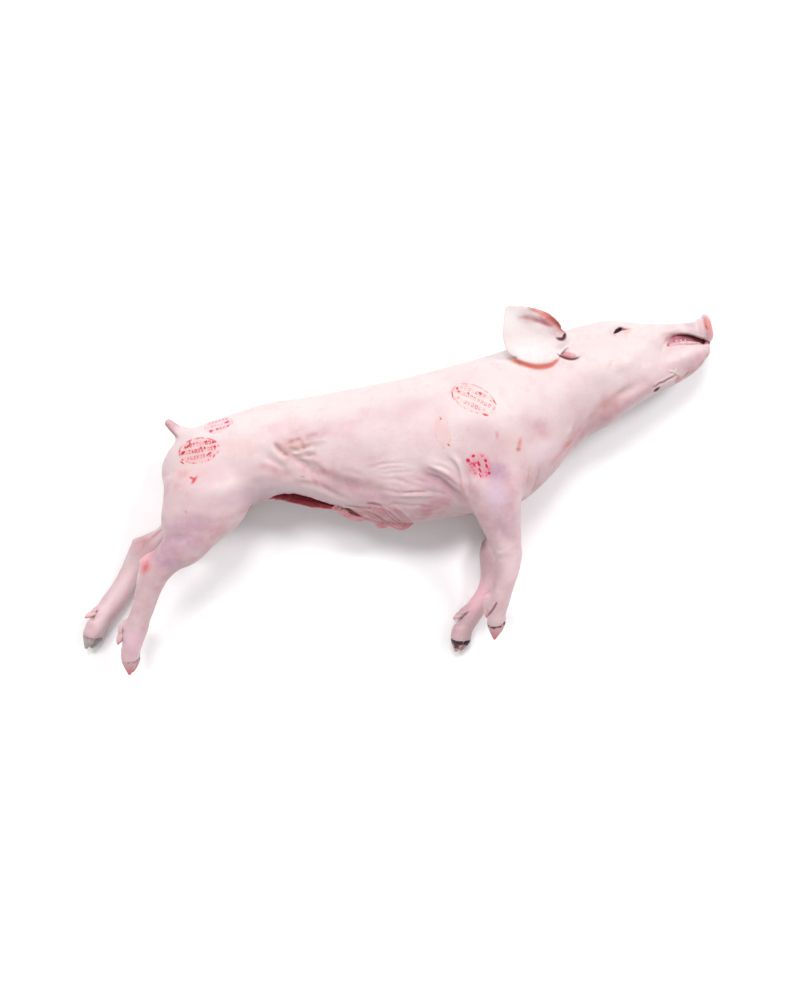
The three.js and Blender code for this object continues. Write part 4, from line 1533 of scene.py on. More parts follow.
class Finish:
    """A material under construction: each call adds a node and gives back what it puts out."""

    def __init__(self, name):
        self.material = bpy.data.materials.new(name)
        self.material.use_nodes = True
        self.tree = self.material.node_tree
        self.shader = self.tree.nodes["Principled BSDF"]
        self.place = self.node("TexCoord").outputs["Object"]

    def node(self, kind, inputs=None, **settings):
        """A node of a kind, its settings made and its inputs fed."""
        made = self.tree.nodes.new("ShaderNode" + kind)
        for key, value in settings.items():
            setattr(made, key, value)
        for key, value in (inputs or {}).items():
            self.feed(made.inputs[key], value)
        return made

    def feed(self, socket, value):
        """Links a node's output to a socket, or gives the socket a constant."""
        if isinstance(value, bpy.types.NodeSocket):
            self.tree.links.new(value, socket)
        else:
            socket.default_value = value

    def calc(self, operation, a, b=0.0, c=0.0, clamp=False):
        """One sum of two or three values, held to 0..1 if it is clamped."""
        return self.node("Math", {0: a, 1: b, 2: c}, operation=operation, use_clamp=clamp).outputs[0]

    def times(self, a, b, clamp=False):
        """a b, held to 0..1 if it is clamped."""
        return self.calc("MULTIPLY", a, b, clamp=clamp)

    def noise(self, size, detail=3.0, rough=0.55, distortion=0.0):
        """Noise whose lumps are about size mm across."""
        inputs = {"Vector": self.place, "Scale": 1 / (size * MM), "Detail": detail, "Roughness": rough}
        inputs["Distortion"] = distortion
        return self.node("TexNoise", inputs).outputs[0]

    def cells(self, size):
        """How far places are from the edges of cells about size mm across, in cells."""
        inputs = {"Vector": self.place, "Scale": 1 / (size * MM)}
        return self.node("TexVoronoi", inputs, feature="DISTANCE_TO_EDGE").outputs["Distance"]

    def oval(self, x, y, half_x, half_y, angle):
        """Coordinates in plan inside an oval, whose edge lies 1 from its centre: along, across, length."""
        inputs = {"Vector": self.rough_place, "Location": tuple(to_frame([x, y, 0.0]))}
        inputs["Rotation"] = (0, 0, math.radians(angle))
        inputs["Scale"] = (half_x * MM, half_y * MM, 100.0)
        placed = self.node("Mapping", inputs, vector_type="TEXTURE").outputs[0]
        parts = self.node("SeparateXYZ", {0: placed}).outputs
        return parts[0], parts[1], self.node("VectorMath", {0: placed}, operation="LENGTH").outputs["Value"]

    def roughen(self, size, amount):
        """Makes the places that ovals read uneven by noise of a size, in mm."""
        inputs = {"Vector": self.place, "Scale": 1 / (size * MM), "Detail": 3.0}
        noise = self.node("TexNoise", inputs).outputs["Color"]
        offset = self.node("VectorMath", {0: noise, 1: (0.5, 0.5, 0.5)}, operation="SUBTRACT").outputs[0]
        inputs = {0: offset, 1: (2 * amount * MM,) * 3, 2: self.place}
        self.rough_place = self.node("VectorMath", inputs, operation="MULTIPLY_ADD").outputs[0]

    def ramp(self, value, low, high, to_low=0.0, to_high=1.0):
        """Value mapped smoothly from low..high onto to_low..to_high, and held there outside."""
        inputs = {0: value, 1: low, 2: high, 3: to_low, 4: to_high}
        return self.node("MapRange", inputs, interpolation_type="SMOOTHSTEP").outputs[0]

    def mask(self, name):
        """One of the values stored at the mesh's points."""
        return self.node("Attribute", attribute_name=name, attribute_type="GEOMETRY").outputs["Fac"]

    def mix(self, share, a, b):
        """The colour a (1 - share) + b share."""
        return self.node("Mix", {0: share, 6: a, 7: b}, data_type="RGBA", blend_type="MIX").outputs[2]

    def bump(self, height, distance, strength=1.0, under=None):
        """Shading as if the surface stood up by height times distance mm, over another bump."""
        inputs = {"Height": height, "Distance": distance * MM, "Strength": strength}
        if under is not None:
            inputs["Normal"] = under
        return self.node("Bump", inputs).outputs[0]

    def done(self, colour, roughness, normal=None, **constants):
        """Feeds the shader, whose constants are given by their names, and gives back the material."""
        self.feed(self.shader.inputs["Base Color"], colour)
        self.feed(self.shader.inputs["Roughness"], roughness)
        if normal is not None:
            self.feed(self.shader.inputs["Normal"], normal)
        for key, value in constants.items():
            self.shader.inputs[key.replace("_", " ")].default_value = value
        return self.material


# ---- ink stamps

# ovals of ink: centre, half length and breadth, angle, rows of print with their dashes, how strong the
# ring, print and wash are, thin and heavy ink colours, and heavier blots [along, across, half length,
# half breadth, angle], the first two as shares of the oval
CRIMSON = ((240, 76, 94), (212, 0, 30))
PINK = ((240, 136, 166), (226, 44, 92))
SALMON = ((246, 158, 150), (220, 84, 84))
MAGENTA = ((255, 96, 140), (222, 8, 84))
STAMPS = [
    {
        "at": (18, -22),
        "half": (21.6, 13.2),
        "angle": -4,
        "rows": 3,
        "dashes": 11,
        "strength": (0.95, 1.8, 0.24),
        "inks": CRIMSON,
        "blots": [
            [-0.5, 0.47, 4.6, 1.2, 32],
            [-0.4, 0.72, 1.0, 2.4, 10],
            [0.4, 0.58, 2.2, 1.1, 12],
            [0.13, 0.16, 1.3, 1.5, 0],
            [0.31, 0.11, 1.2, 1.8, -15],
            [0.48, -0.4, 3.8, 1.1, 28],
            [0.7, -0.62, 2.4, 0.9, 48],
            [-0.77, 0.03, 3.0, 1.7, 30],
            [-0.86, -0.72, 2.8, 0.8, -40],
            [0.76, 0.47, 1.3, 1.1, -40],
            [0.8, 0.1, 1.6, 1.3, 0],
        ],
    },
    {
        "at": (42.5, -0.5),
        "half": (15, 8.5),
        "angle": 2,
        "rows": 3,
        "dashes": 7,
        "strength": (0.5, 1.6, 0.2),
        "inks": PINK,
        "blots": [[-0.55, -0.55, 2.4, 1.2, 10], [0.62, 0.1, 2.2, 1.2, 20], [0.66, -0.4, 2.0, 0.7, 30]],
    },
    {
        "at": (301.2, -34),
        "half": (23.8, 13.4),
        "angle": -39,
        "rows": 3,
        "dashes": 10,
        "strength": (0.75, 1.1, 0.12),
        "inks": SALMON,
        "blots": [
            [-0.88, -0.42, 3.8, 0.8, -62],
            [-0.81, 0.17, 1.6, 1.6, 0],
            [-0.7, 0.0, 1.3, 1.3, 0],
            [0.85, 0.45, 3.4, 0.8, -30],
            [0.75, -0.74, 3.2, 1.4, 8],
            [0.17, 0.58, 2.2, 1.4, 0],
            [-0.3, 0.2, 1.4, 0.9, 0],
        ],
    },
    {
        "at": (263, -60.5),
        "half": (16.5, 7.6),
        "angle": -95,
        "rows": 2,
        "dashes": 5,
        "strength": (0.5, 0.3, 0.24),
        "inks": SALMON,
        "blots": [[-0.85, 0.0, 1.2, 1.0, 0], [0.8, 0.55, 2.0, 0.7, 40]],
    },
    {
        "at": (291.5, -101),
        "half": (15.5, 12.5),
        "angle": -76,
        "rows": 4,
        "dashes": 7,
        "strength": (0.0, 1.3, 0.36),
        "inks": MAGENTA,
        "blots": [
            [-0.62, -0.62, 2.4, 2.2, 0],
            [-0.2, -0.36, 3.0, 1.2, 10],
            [-0.72, -0.1, 1.6, 2.0, 0],
            [-0.1, 0.02, 3.4, 1.5, -6],
            [0.3, -0.12, 3.2, 1.3, 4],
            [-0.1, 0.62, 2.0, 2.0, 0],
            [0.25, 0.5, 3.0, 1.3, -8],
            [0.74, 0.42, 2.0, 1.8, 0],
            [0.62, -0.3, 2.6, 1.0, 0],
        ],
    },
    {
        "at": (334, -7),
        "half": (11, 6),
        "angle": -20,
        "rows": 2,
        "dashes": 4,
        "strength": (0.0, 0.22, 0.03),
        "inks": PINK,
        "blots": [],
    },
]


def blots(f, facts):
    """The heaviest places of a stamp's ink."""
    heaviest = 0.0
    turn = math.radians(facts["angle"])
    along = np.array([math.cos(turn), math.sin(turn)])
    across = np.array([-math.sin(turn), math.cos(turn)])
    for u, v, half_x, half_y, angle in facts["blots"]:
        x, y = facts["at"] + along * u * facts["half"][0] + across * v * facts["half"][1]
        _, _, radius = f.oval(x, y, half_x, half_y, facts["angle"] + angle)
        heaviest = f.calc("MAXIMUM", heaviest, f.ramp(radius, 1.35, 0.55))
    return heaviest


def print_rows(f, facts, u, v, seed):
    """Rows of short uneven dashes across an oval."""
    row = f.calc("MULTIPLY_ADD", v, facts["rows"] / 1.5, facts["rows"] / 2)
    row_number = f.calc("FLOOR", row)
    in_row = f.calc("ABSOLUTE", f.calc("SUBTRACT", f.calc("FRACT", row), 0.5))
    shifted = f.calc("MULTIPLY_ADD", row_number, 0.37, u)
    column = f.times(shifted, facts["dashes"] / 1.7)
    column_number = f.calc("FLOOR", column)
    in_column = f.calc("ABSOLUTE", f.calc("SUBTRACT", f.calc("FRACT", column), 0.5))
    cell = f.node("CombineXYZ", {0: column_number, 1: row_number, 2: float(seed)}).outputs[0]
    luck = f.node("TexWhiteNoise", {"Vector": cell}, noise_dimensions="3D").outputs["Value"]
    box = f.times(f.ramp(in_row, 0.36, 0.22), f.ramp(in_column, 0.42, 0.28))
    hollow = f.times(f.ramp(in_row, 0.18, 0.08), f.ramp(in_column, 0.2, 0.1))
    hollow = f.times(hollow, f.ramp(luck, 0.4, 0.6))
    box = f.calc("SUBTRACT", box, hollow, clamp=True)
    return f.times(box, f.ramp(luck, 0.0, 0.7, 0.3, 1.0))


def stamp(f, facts, seed):
    """An oval ring round rows of dashes, worn off in places: how much ink, and how heavy it lies."""
    u, v, radius = f.oval(*facts["at"], *facts["half"], facts["angle"])
    ring_share, print_share, wash_share = facts["strength"]
    worn = f.ramp(f.noise(5.0, 3.0, 0.7), 0.42, 0.56, 0.06, 1.0)
    patchy = f.ramp(f.noise(9.0, 2.0, 0.5), 0.32, 0.6, 0.4, 1.0)
    off_ring = f.calc("ABSOLUTE", f.calc("SUBTRACT", radius, 0.96))
    ring = f.times(f.ramp(off_ring, 0.09, 0.02), f.times(worn, ring_share))
    inside = f.ramp(radius, 0.9, 0.82)
    shown = f.times(inside, f.calc("MULTIPLY_ADD", worn, 0.5, 0.5))
    dashes = f.times(print_rows(f, facts, u, v, seed), shown)
    dashes = f.times(dashes, f.times(patchy, print_share))
    wash = f.times(f.ramp(radius, 1.1, 0.7), f.times(patchy, wash_share))
    heavy = blots(f, facts)
    ink = f.calc("MAXIMUM", f.calc("MAXIMUM", ring, dashes), f.calc("MAXIMUM", wash, heavy))
    return ink, f.calc("MAXIMUM", heavy, f.times(dashes, 0.7))


# ---- materials

# sharp little marks in plan: [x, y, half length, half breadth, angle], colour, share. The red marks and the
# salmon on the disc are the skin's own; the grey mark on the left foreleg is a painted shadow, and tints
# brighter than 255 are painted light over shade on the legs, feet, chest, ear and upper lip
MARKS_AND_PAINTED_LIGHT = [
    ([8.4, -50.8, 4.8, 1.7, 45], (222, 44, 70), 1.0),
    ([6.6, -48.2, 3.0, 1.4, -35], (222, 44, 70), 0.9),
    ([-7, -80, 1.7, 1.7, 0], (214, 120, 140), 0.5),
    ([336.5, -88, 5.6, 2.3, 62], (238, 140, 136), 0.75),
    ([333.6, -94, 2.6, 2.2, 0], (206, 104, 96), 0.7),
    ([315.5, -75.5, 4.4, 1.9, 84], (236, 160, 156), 0.7),
    ([556.5, -12.5, 4.5, 8.5, 8], (252, 138, 130), 0.6),
    ([557, -22, 4, 5, 8], (226, 140, 152), 0.5),
    ([277, -177, 6, 10, 15], (120, 100, 106), 0.7),
    ([-92, -138, 48, 9, 41.5], (282, 250, 256), 0.8),
    ([262, -234, 9, 20, -40], (274, 216, 230), 0.8),
    ([364, 4, 28, 20, 20], (262, 252, 251), 0.5),
    ([527, -12.6, 18, 3.6, -11], (268, 248, 247), 0.4),
    ([506, -21, 6, 5, 0], (268, 248, 247), 0.4),
    ([300, -131, 14, 14, 0], (242, 216, 238), 0.55),
    ([300, -203, 12, 26, 8], (272, 242, 248), 0.45),
    ([360, -101, 22, 12, 10], (266, 240, 248), 0.5),
    ([356, 38, 14, 14, 0], (264, 256, 256), 0.7),
    ([262, -118, 10, 8, -40], (236, 192, 208), 0.45),
    ([-95, -198, 12, 14, 20], (266, 220, 240), 0.55),
]


def inked(f, colour):
    """Adds the stamps and the sharp marks to a colour, among them painted light and a painted shadow."""
    f.roughen(2.6, 0.8)
    upper = f.mask("upper")
    most = 0.0
    for facts, tint, share in MARKS_AND_PAINTED_LIGHT:
        _, _, radius = f.oval(*facts)
        colour = f.mix(f.times(f.ramp(radius, 1.5, 0.2), share), colour, tone(*tint))
    for seed, facts in enumerate(STAMPS):
        ink, heavy = stamp(f, facts, seed)
        thin_ink, heavy_ink = (tone(*c) for c in facts["inks"])
        ink = f.times(ink, upper)
        colour = f.mix(ink, colour, f.mix(heavy, thin_ink, heavy_ink))
        most = f.calc("MAXIMUM", most, ink)
    return colour, most


def mottled(f, broad, middle, fine):
    """Scalded skin without its marks: pale, mottled pink, with rosy, lilac, amber and scarlet places, a
    web of small veins and faint cells. Some of the paleness is painted highlight and painted light, some
    of the rose is painted shade in creases, and one amber place is painted glow by the ear."""
    colour = f.mix(f.ramp(broad, 0.36, 0.66), tone(245, 220, 222), tone(235, 204, 208))
    # paleness, part of it painted highlight on fold ridges and painted light on the legs
    colour = f.mix(f.times(f.mask("pale"), 0.8), colour, tone(253, 240, 239))
    colour = f.mix(f.ramp(middle, 0.5, 0.72, 0.0, 0.2), colour, tone(228, 178, 186))
    # the rose includes painted shade in fold valleys and in hollows of the ear
    rose = f.times(f.mask("rose"), f.ramp(middle, 0.3, 0.7, 0.55, 1.3))
    colour = f.mix(rose, colour, tone(222, 158, 166))
    blotch = f.noise(9.0, 4.0, 0.6)
    lilac = f.times(f.mask("lilac"), f.ramp(blotch, 0.34, 0.66, 0.7, 1.15))
    colour = f.mix(lilac, colour, tone(202, 162, 184))
    colour = f.mix(f.times(f.mask("amber"), 0.8), colour, tone(226, 170, 142))
    marks = f.times(f.mask("scarlet"), f.ramp(fine, 0.3, 0.62, 0.6, 1.1), clamp=True)
    colour = f.mix(marks, colour, tone(230, 96, 100))
    capillary = f.ramp(f.noise(5.0, 5.0, 0.7, distortion=1.5), 0.6, 0.74, 0.0, 0.12)
    colour = f.mix(capillary, colour, tone(218, 130, 140))
    return f.mix(f.ramp(f.cells(1.5), 0.0, 0.12, 0.05, 0.0), colour, tone(206, 150, 150))


def skin_finish():
    """Pigskin: mottled and stamped, orange red and dark red round the ear and in creases, mostly painted
    glow and shade, raw where it's cut, and damp, with pores, grain and ripples."""
    f = Finish("pigskin")
    broad, middle, fine = f.noise(46, 3.0), f.noise(13, 4.0, 0.6), f.noise(2.6, 3.0, 0.6)
    colour, ink = inked(f, mottled(f, broad, middle, fine))
    # painted glow and shade round the ear in orange red, and the disc's own salmon
    colour = f.mix(f.times(f.mask("glow_shade_and_salmon"), 0.9), colour, tone(222, 92, 66))
    # dark red: the skin's own stains and spots, and painted shade in creases, round the ear and beside the
    # fat
    colour = f.mix(f.times(f.mask("maroon_and_shade"), 0.9), colour, tone(118, 34, 42))
    raw = f.mix(f.ramp(fine, 0.35, 0.65), tone(178, 46, 60), tone(216, 92, 100))
    colour = f.mix(f.mask("flesh"), colour, raw)
    # the eyes' slits, and painted shade in holes, in the belly cut and in the mouth
    colour = f.mix(f.mask("dark"), colour, tone(64, 8, 20))
    pores = f.bump(f.cells(1.1), 0.12, 0.5)
    grain = f.bump(f.noise(3.2, 4.0, 0.6), 0.5, 0.35, pores)
    ripples = f.bump(f.noise(11.0, 3.0, 0.5, distortion=0.6), 1.4, 0.3, grain)
    rough = f.ramp(middle, 0.3, 0.7, 0.42, 0.54)
    material = f.done(colour, rough, ripples, Subsurface_Scale=0.004)
    # no light shines through the ink, and little is thrown back from the dark places
    through = f.calc("MULTIPLY_ADD", ink, -0.35, 0.35, clamp=True)
    f.feed(f.shader.inputs["Subsurface Weight"], through)
    thrown_back = f.calc("MULTIPLY_ADD", f.mask("dark"), -0.34, 0.4, clamp=True)
    f.feed(f.shader.inputs["Specular IOR Level"], thrown_back)
    f.shader.inputs["Subsurface Radius"].default_value = (1.0, 0.34, 0.22)
    return material


def horn_finish(name, coronet, tip):
    """Claw horn: pinkish, streaked along, with an uneven dark band under the skin and a red tip."""
    f = Finish("horn_" + name)
    reach = f.mask("reach")
    cloud, streak = f.noise(5.0, 4.0, 0.6), f.noise(1.2, 3.0, 0.6)
    pink = f.mix(f.ramp(streak, 0.35, 0.65), tone(232, 186, 190), tone(206, 160, 164))
    grey = f.mix(f.ramp(streak, 0.35, 0.65), tone(214, 198, 192), tone(170, 152, 148))
    colour = f.mix(min(1.0, 2 * tip), grey, pink)
    colour = f.mix(f.times(f.ramp(reach, 0.42, 0.95), tip), colour, tone(232, 118, 124))
    worn = f.calc("MULTIPLY_ADD", cloud, 1.1, f.calc("SUBTRACT", reach, 0.55))
    dark, width = coronet
    band = f.times(f.ramp(worn, width, width - 0.16), dark)
    colour = f.mix(band, colour, tone(62, 26, 38))
    rings = f.bump(streak, 0.35, 0.6)
    rough = f.ramp(cloud, 0.3, 0.7, 0.34, 0.5)
    return f.done(colour, rough, rings, Subsurface_Weight=0.12, Subsurface_Scale=0.002)


def dew_horn_finish():
    """The small claws' horn: pale orange pink, redder at the tip."""
    f = Finish("dew_horn")
    streak = f.noise(1.3, 3.0, 0.6)
    colour = f.mix(f.ramp(streak, 0.35, 0.65), tone(248, 208, 208), tone(238, 184, 188))
    colour = f.mix(f.ramp(f.mask("reach"), 0.55, 1.0, 0.0, 0.6), colour, tone(230, 112, 112))
    rough, rings = f.ramp(streak, 0.3, 0.7, 0.36, 0.5), f.bump(streak, 0.25, 0.6)
    return f.done(colour, rough, rings, Subsurface_Weight=0.15, Subsurface_Scale=0.002)


def eye_finish():
    """A dull, dark, wet eye."""
    f = Finish("wet_eye")
    cloud = f.noise(4.0, 3.0)
    colour = f.mix(f.ramp(cloud, 0.4, 0.7), tone(26, 12, 20), tone(66, 34, 44))
    rough = f.ramp(cloud, 0.3, 0.7, 0.12, 0.2)
    return f.done(colour, rough, f.bump(cloud, 0.1, 0.3), Specular_IOR_Level=0.3)


def wet_flesh_finish(name, bright, dull, dryness=0.3, glow=0.25):
    """Moist flesh between two tones, in streaks and clots; dryness is its roughness, and glow is how
    much light goes through it."""
    f = Finish(name)
    cloud = f.noise(5.0, 5.0, 0.65, distortion=0.8)
    fine = f.noise(1.4, 3.0, 0.6)
    colour = f.mix(f.ramp(cloud, 0.35, 0.65), dull, bright)
    colour = f.mix(f.ramp(fine, 0.55, 0.75, 0.0, 0.2), colour, tone(250, 214, 208))
    lumps = f.bump(cloud, 0.8, 0.5, f.bump(fine, 0.3, 0.5))
    rough = f.ramp(fine, 0.3, 0.7, dryness - 0.06, dryness + 0.12)
    return f.done(colour, rough, lumps, Subsurface_Weight=glow, Subsurface_Scale=0.003)


def lining_finish():
    """The wet inside of the lips: rose at the corners, and almost black towards the snout, which is painted
    shade.
    """
    f = Finish("mouth_lining")
    cloud = f.noise(4.0, 4.0, 0.6)
    colour = f.mix(f.ramp(cloud, 0.35, 0.65), tone(206, 130, 142), tone(178, 92, 106))
    colour = f.mix(f.mask("front"), colour, tone(124, 34, 46))
    rough, lumps = f.ramp(cloud, 0.3, 0.7, 0.4, 0.5), f.bump(cloud, 0.6, 0.5)
    return f.done(colour, rough, lumps, Subsurface_Weight=0.2, Subsurface_Scale=0.002)


def tooth_finish():
    """Milk teeth: ivory, yellower in patches."""
    f = Finish("milk_teeth")
    cloud = f.noise(1.5, 3.0)
    colour = f.mix(f.ramp(cloud, 0.35, 0.65), tone(252, 240, 232), tone(236, 212, 196))
    rough, lumps = f.ramp(cloud, 0.3, 0.7, 0.25, 0.36), f.bump(cloud, 0.1, 0.4)
    return f.done(colour, rough, lumps, Subsurface_Weight=0.1, Subsurface_Scale=0.001)


def floor_finish():
    """A plain white table top with the faintest unevenness."""
    f = Finish("white_table")
    cloud = f.noise(60, 3.0)
    colour = f.mix(f.ramp(cloud, 0.3, 0.7), srgb(232, 231, 232), srgb(235, 234, 235))
    return f.done(colour, f.ramp(cloud, 0.3, 0.7, 0.6, 0.66), Specular_IOR_Level=0.1)


# ---- the smaller pieces


def finished(made, material, masks=None):
    """Puts a mesh in millimetres into the frame and gives it its material."""
    mesh = made.data
    place(mesh, to_frame(points_of(mesh)))
    mesh.polygons.foreach_set("use_smooth", np.ones(len(mesh.polygons), bool))
    mesh.materials.clear()
    mesh.materials.append(material)
    give_masks(mesh, masks or {})
    mesh.update()
    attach(made, "root")
    return made


def piece(name, shells, material, masks=None):
    """A finished piece in the frame, kept above the table."""
    made = mesh_object(name, shells)
    place(made.data, settle_on_table(points_of(made.data)))
    return finished(made, material, masks)


def horn_piece(name, rings, material):
    """Claws of one foot as one piece, with how far along its claw each point lies."""
    reach = []
    for count, around, _ in (r.shape for r in rings):
        reach += [np.repeat(np.linspace(0, 1, count), around), [0.0, 1.0]]
    return piece(name, [shell(r) for r in rings], material, {"reach": np.concatenate(reach)})


def feet_horn():
    """The claws and dew claws of every foot."""
    dew_horn = dew_horn_finish()
    for name, facts in FEET.items():
        claws, dews = horn(name)
        horn_piece("claws_" + name, claws, horn_finish(name, facts["coronet"], facts["red"]))
        horn_piece("dew_claws_" + name, dews, dew_horn)


def ball(centre, radius, around=32):
    """A ball of rings: r sin p across, r cos p along X."""
    p = np.linspace(0.04, np.pi - 0.04, around // 2)
    turn = 2 * np.pi * np.arange(around) / around
    along = np.repeat(-np.cos(p)[:, None], around, 1)
    rings = np.stack([along, np.sin(p)[:, None] * np.cos(turn), np.sin(p)[:, None] * np.sin(turn)], -1)
    return shell(np.array(centre, float) + radius * rings)


def eyes(points, normals):
    """Both eyeballs, sunk so that their fronts lie a little under the skin round the lids."""
    shells = []
    for side in (1, -1):
        reach = in_plan(points, *EYE_MIDDLE, 1, 1)
        round_lids = (side_of_head(points) == side) & (reach > LID_RING[0]) & (reach < LID_RING[1])
        near = round_lids & (normals[:, 2] * side > 0.1)
        normal = unit(normals[near].mean(0))
        surface = points[near].mean(0)
        middle = surface + normal * ((np.array([*EYE_MIDDLE, surface[2]]) - surface) @ normal)
        centre = np.array([*EYE_MIDDLE, middle[2]]) - normal * (EYEBALL_RADIUS + EYE_SINK)
        shells.append(ball(centre, EYEBALL_RADIUS))
    return piece("eyes", shells, eye_finish())


# the inside of the mouth, in the same terms as the trunk
LINING = [
    [500, -8, -40, 22],
    [512, -9, -38, 20.5],
    [522, -10, -36, 17.5],
    [532, -11.5, -37, 14],
    [542, -14, -38, 10.5],
    [550, -18, -37, 8],
    [554, -22, -35, 6],
]
# the gum follows the lower jaw from the corner of the mouth round its front: [x, y, z, half side, half
# up]
GUM = [
    [507, -26.4, 56, 1.8, 2.2],
    [513, -25, 57.6, 2.5, 2.8],
    [520, -24.6, 57, 2.8, 2.8],
    [528, -25.3, 55.4, 2.6, 2.6],
    [535, -26.7, 52.4, 2.3, 2.4],
    [542, -28.6, 48.2, 2.0, 2.2],
    [547, -30.2, 43.4, 1.8, 2.0],
    [549, -30.8, 38, 1.8, 1.8],
    [547, -30.2, 33, 1.8, 2.0],
    [540, -28.2, 28, 2.0, 2.2],
    [530, -25.6, 22.6, 2.6, 2.6],
    [516, -24.8, 20, 2.8, 2.8],
    [507, -26.4, 19, 1.8, 2.2],
]
TEETH = [0.17, 0.22, 0.27]  # how far round the gum the right side's teeth stand
# a tooth from root to tip: [forward of the gum's middle, above its top, half breadth, half thickness]
TOOTH = [[0, -1, 0.9, 0.8], [0.3, 0.6, 0.7, 0.6], [0.5, 1.4, 0.3, 0.3]]


def mouth_pieces():
    """The lining behind the lips, darkened towards the snout by painted shade, the gum along the lower jaw
    and its small teeth.
    """
    shells = [barrel(LINING, 40, 60)]
    # painted shade: the lining darkens towards the snout
    front = smooth(shells[0][0][:, 0], 520, 542)
    piece("mouth_lining", shells, lining_finish(), {"front": front})
    gum = wet_flesh_finish("gum_pink", tone(250, 214, 220), tone(228, 160, 174), 0.25)
    piece("gum", [limb(GUM, 16, 120)], gum)
    shells = []
    for x, y, z, half, _ in spline(GUM, np.array(TEETH + [1 - s for s in TEETH])):
        stations = [[x + fore, y + half + rise, z, side, thick] for fore, rise, side, thick in TOOTH]
        shells.append(limb(stations, 10, 6))
    piece("milk_teeth", shells, tooth_finish())


MEMBRANE_LEVEL = 60.0  # how high the membrane lies beyond the belly's edge
LEVEL_REACH = 3  # how far round a place its level is measured


def level_under(points, normals, x, y):
    """The level of the skin's upper side at a place, or of the membrane beyond its edge."""
    near = (in_plan(points, x, y, LEVEL_REACH, LEVEL_REACH) < 1) & (normals[:, 2] > 0)
    return max(float(points[near, 2].mean()) if near.any() else 0.0, MEMBRANE_LEVEL)


# membrane along the belly's edge: ribbons of [x, y, z, half breadth, half thickness]
MEMBRANES = [
    [
        [136, -109, 63, 1.4, 0.8],
        [144, -114.5, 63, 3.6, 1],
        [151, -120, 62, 4.6, 1.1],
        [160, -124.8, 62, 5, 1.2],
        [168, -126.5, 62, 3.6, 1.2],
        [176, -131, 60, 4.2, 1.2],
        [182, -137, 58, 5.6, 1.2],
        [190, -138, 57, 3.6, 1.2],
        [198, -142.5, 55, 5, 1.2],
        [204, -144.5, 54, 4.4, 1.2],
        [214, -143, 54, 1.6, 0.8],
    ],
    [[56, -87, 58, 1.4, 1], [36, -99, 62, 2.8, 1.4], [14, -108, 62, 2.4, 1.3], [-4, -112, 62, 1.2, 0.8]],
]
# the lower wall of the cut and the lip along it, as [x, y, z, half breadth, half thickness]
CUT_WALL = [
    [88, -88.5, 51, 0.8, 0.7],
    [94, -90.8, 50, 2.2, 1.0],
    [103, -94.6, 49.5, 2.8, 1.0],
    [110, -98, 49.5, 3.0, 1.1],
    [116, -101, 50, 3.2, 1.1],
    [123, -103.2, 51, 3.0, 1.1],
    [130, -106.2, 54, 2.6, 1.0],
    [138, -110, 58, 1.4, 0.8],
]
CUT_LIP = [
    [80, -83.4, 56, 0.5, 0.5],
    [87, -89, 51.6, 0.7, 0.7],
    [94, -93.2, 49.4, 0.8, 0.8],
    [103, -97.4, 48.6, 0.8, 0.8],
    [110, -100.8, 48.6, 0.9, 0.8],
    [116, -104, 49, 0.9, 0.8],
    [123, -105.8, 50.4, 1.0, 0.8],
    [130, -108.6, 53.4, 1.0, 0.9],
    [138, -111.4, 58, 0.8, 0.8],
]
# clots of fat at the cut's end: [x, y, z, radius]
FAT = [[140.5, -109.4, 63, 3.0], [144.2, -111.8, 64, 2.6], [148, -114.4, 64, 2.2], [143, -114, 61, 2.4]]
# a dark strip of flesh beside them, painted shade standing for a hollow, as [x, y, z, half breadth, half
# thickness]
HOLLOW_SHADE = [
    [147, -111.5, 63.5, 0.8, 0.6],
    [152, -115, 64, 2.5, 1.2],
    [158, -119.2, 64, 3.1, 1.3],
    [164, -123, 63.4, 2.4, 1.1],
    [169, -126, 62.6, 0.7, 0.6],
]
MEMBRANE_TILT = math.radians(35)
CUT_TURN = math.radians(20)  # tilt of the cut wall and of the curl in the throat
# fibres of the torn skin lie between these two lines, from the belly to the membrane's edge
FIBRE_STARTS = [[141, -103], [153, -108], [166, -111], [180, -115], [196, -119]]
FIBRE_ENDS = [[170, -128], [180, -136], [192, -142], [203, -146], [215, -143]]
FIBRES = 17
FIBRE_DRAWS = 5  # the seed of the fibres' random draws


def fibres(points, normals):
    """Thin strands of torn skin that lie on the belly and run out over its edge, each a shallow curve."""
    draws = np.random.default_rng(FIBRE_DRAWS)
    shells = []
    for share in np.linspace(0.02, 0.98, FIBRES) + draws.uniform(-0.02, 0.02, FIBRES):
        start, end = (spline(line, np.array([share]))[0] for line in (FIBRE_STARTS, FIBRE_ENDS))
        start = start + (end - start) * draws.uniform(0.0, 0.25)
        t = np.linspace(0, 1, 7)[:, None]
        run = start + (end - start) * t + np.array([0.8, 0.6]) * np.sin(np.pi * t) * draws.uniform(-1, 1)
        levels = [level_under(points, normals, x, y) for x, y in run]
        half = draws.uniform(0.5, 1.0) * np.sin(np.pi * (0.08 + 0.84 * t[:, 0]))
        stations = [[x, y, z + 0.25, h, 0.5 * h] for (x, y), z, h in zip(run, levels, half)]
        shells.append(limb(stations, 8, 40))
    return shells


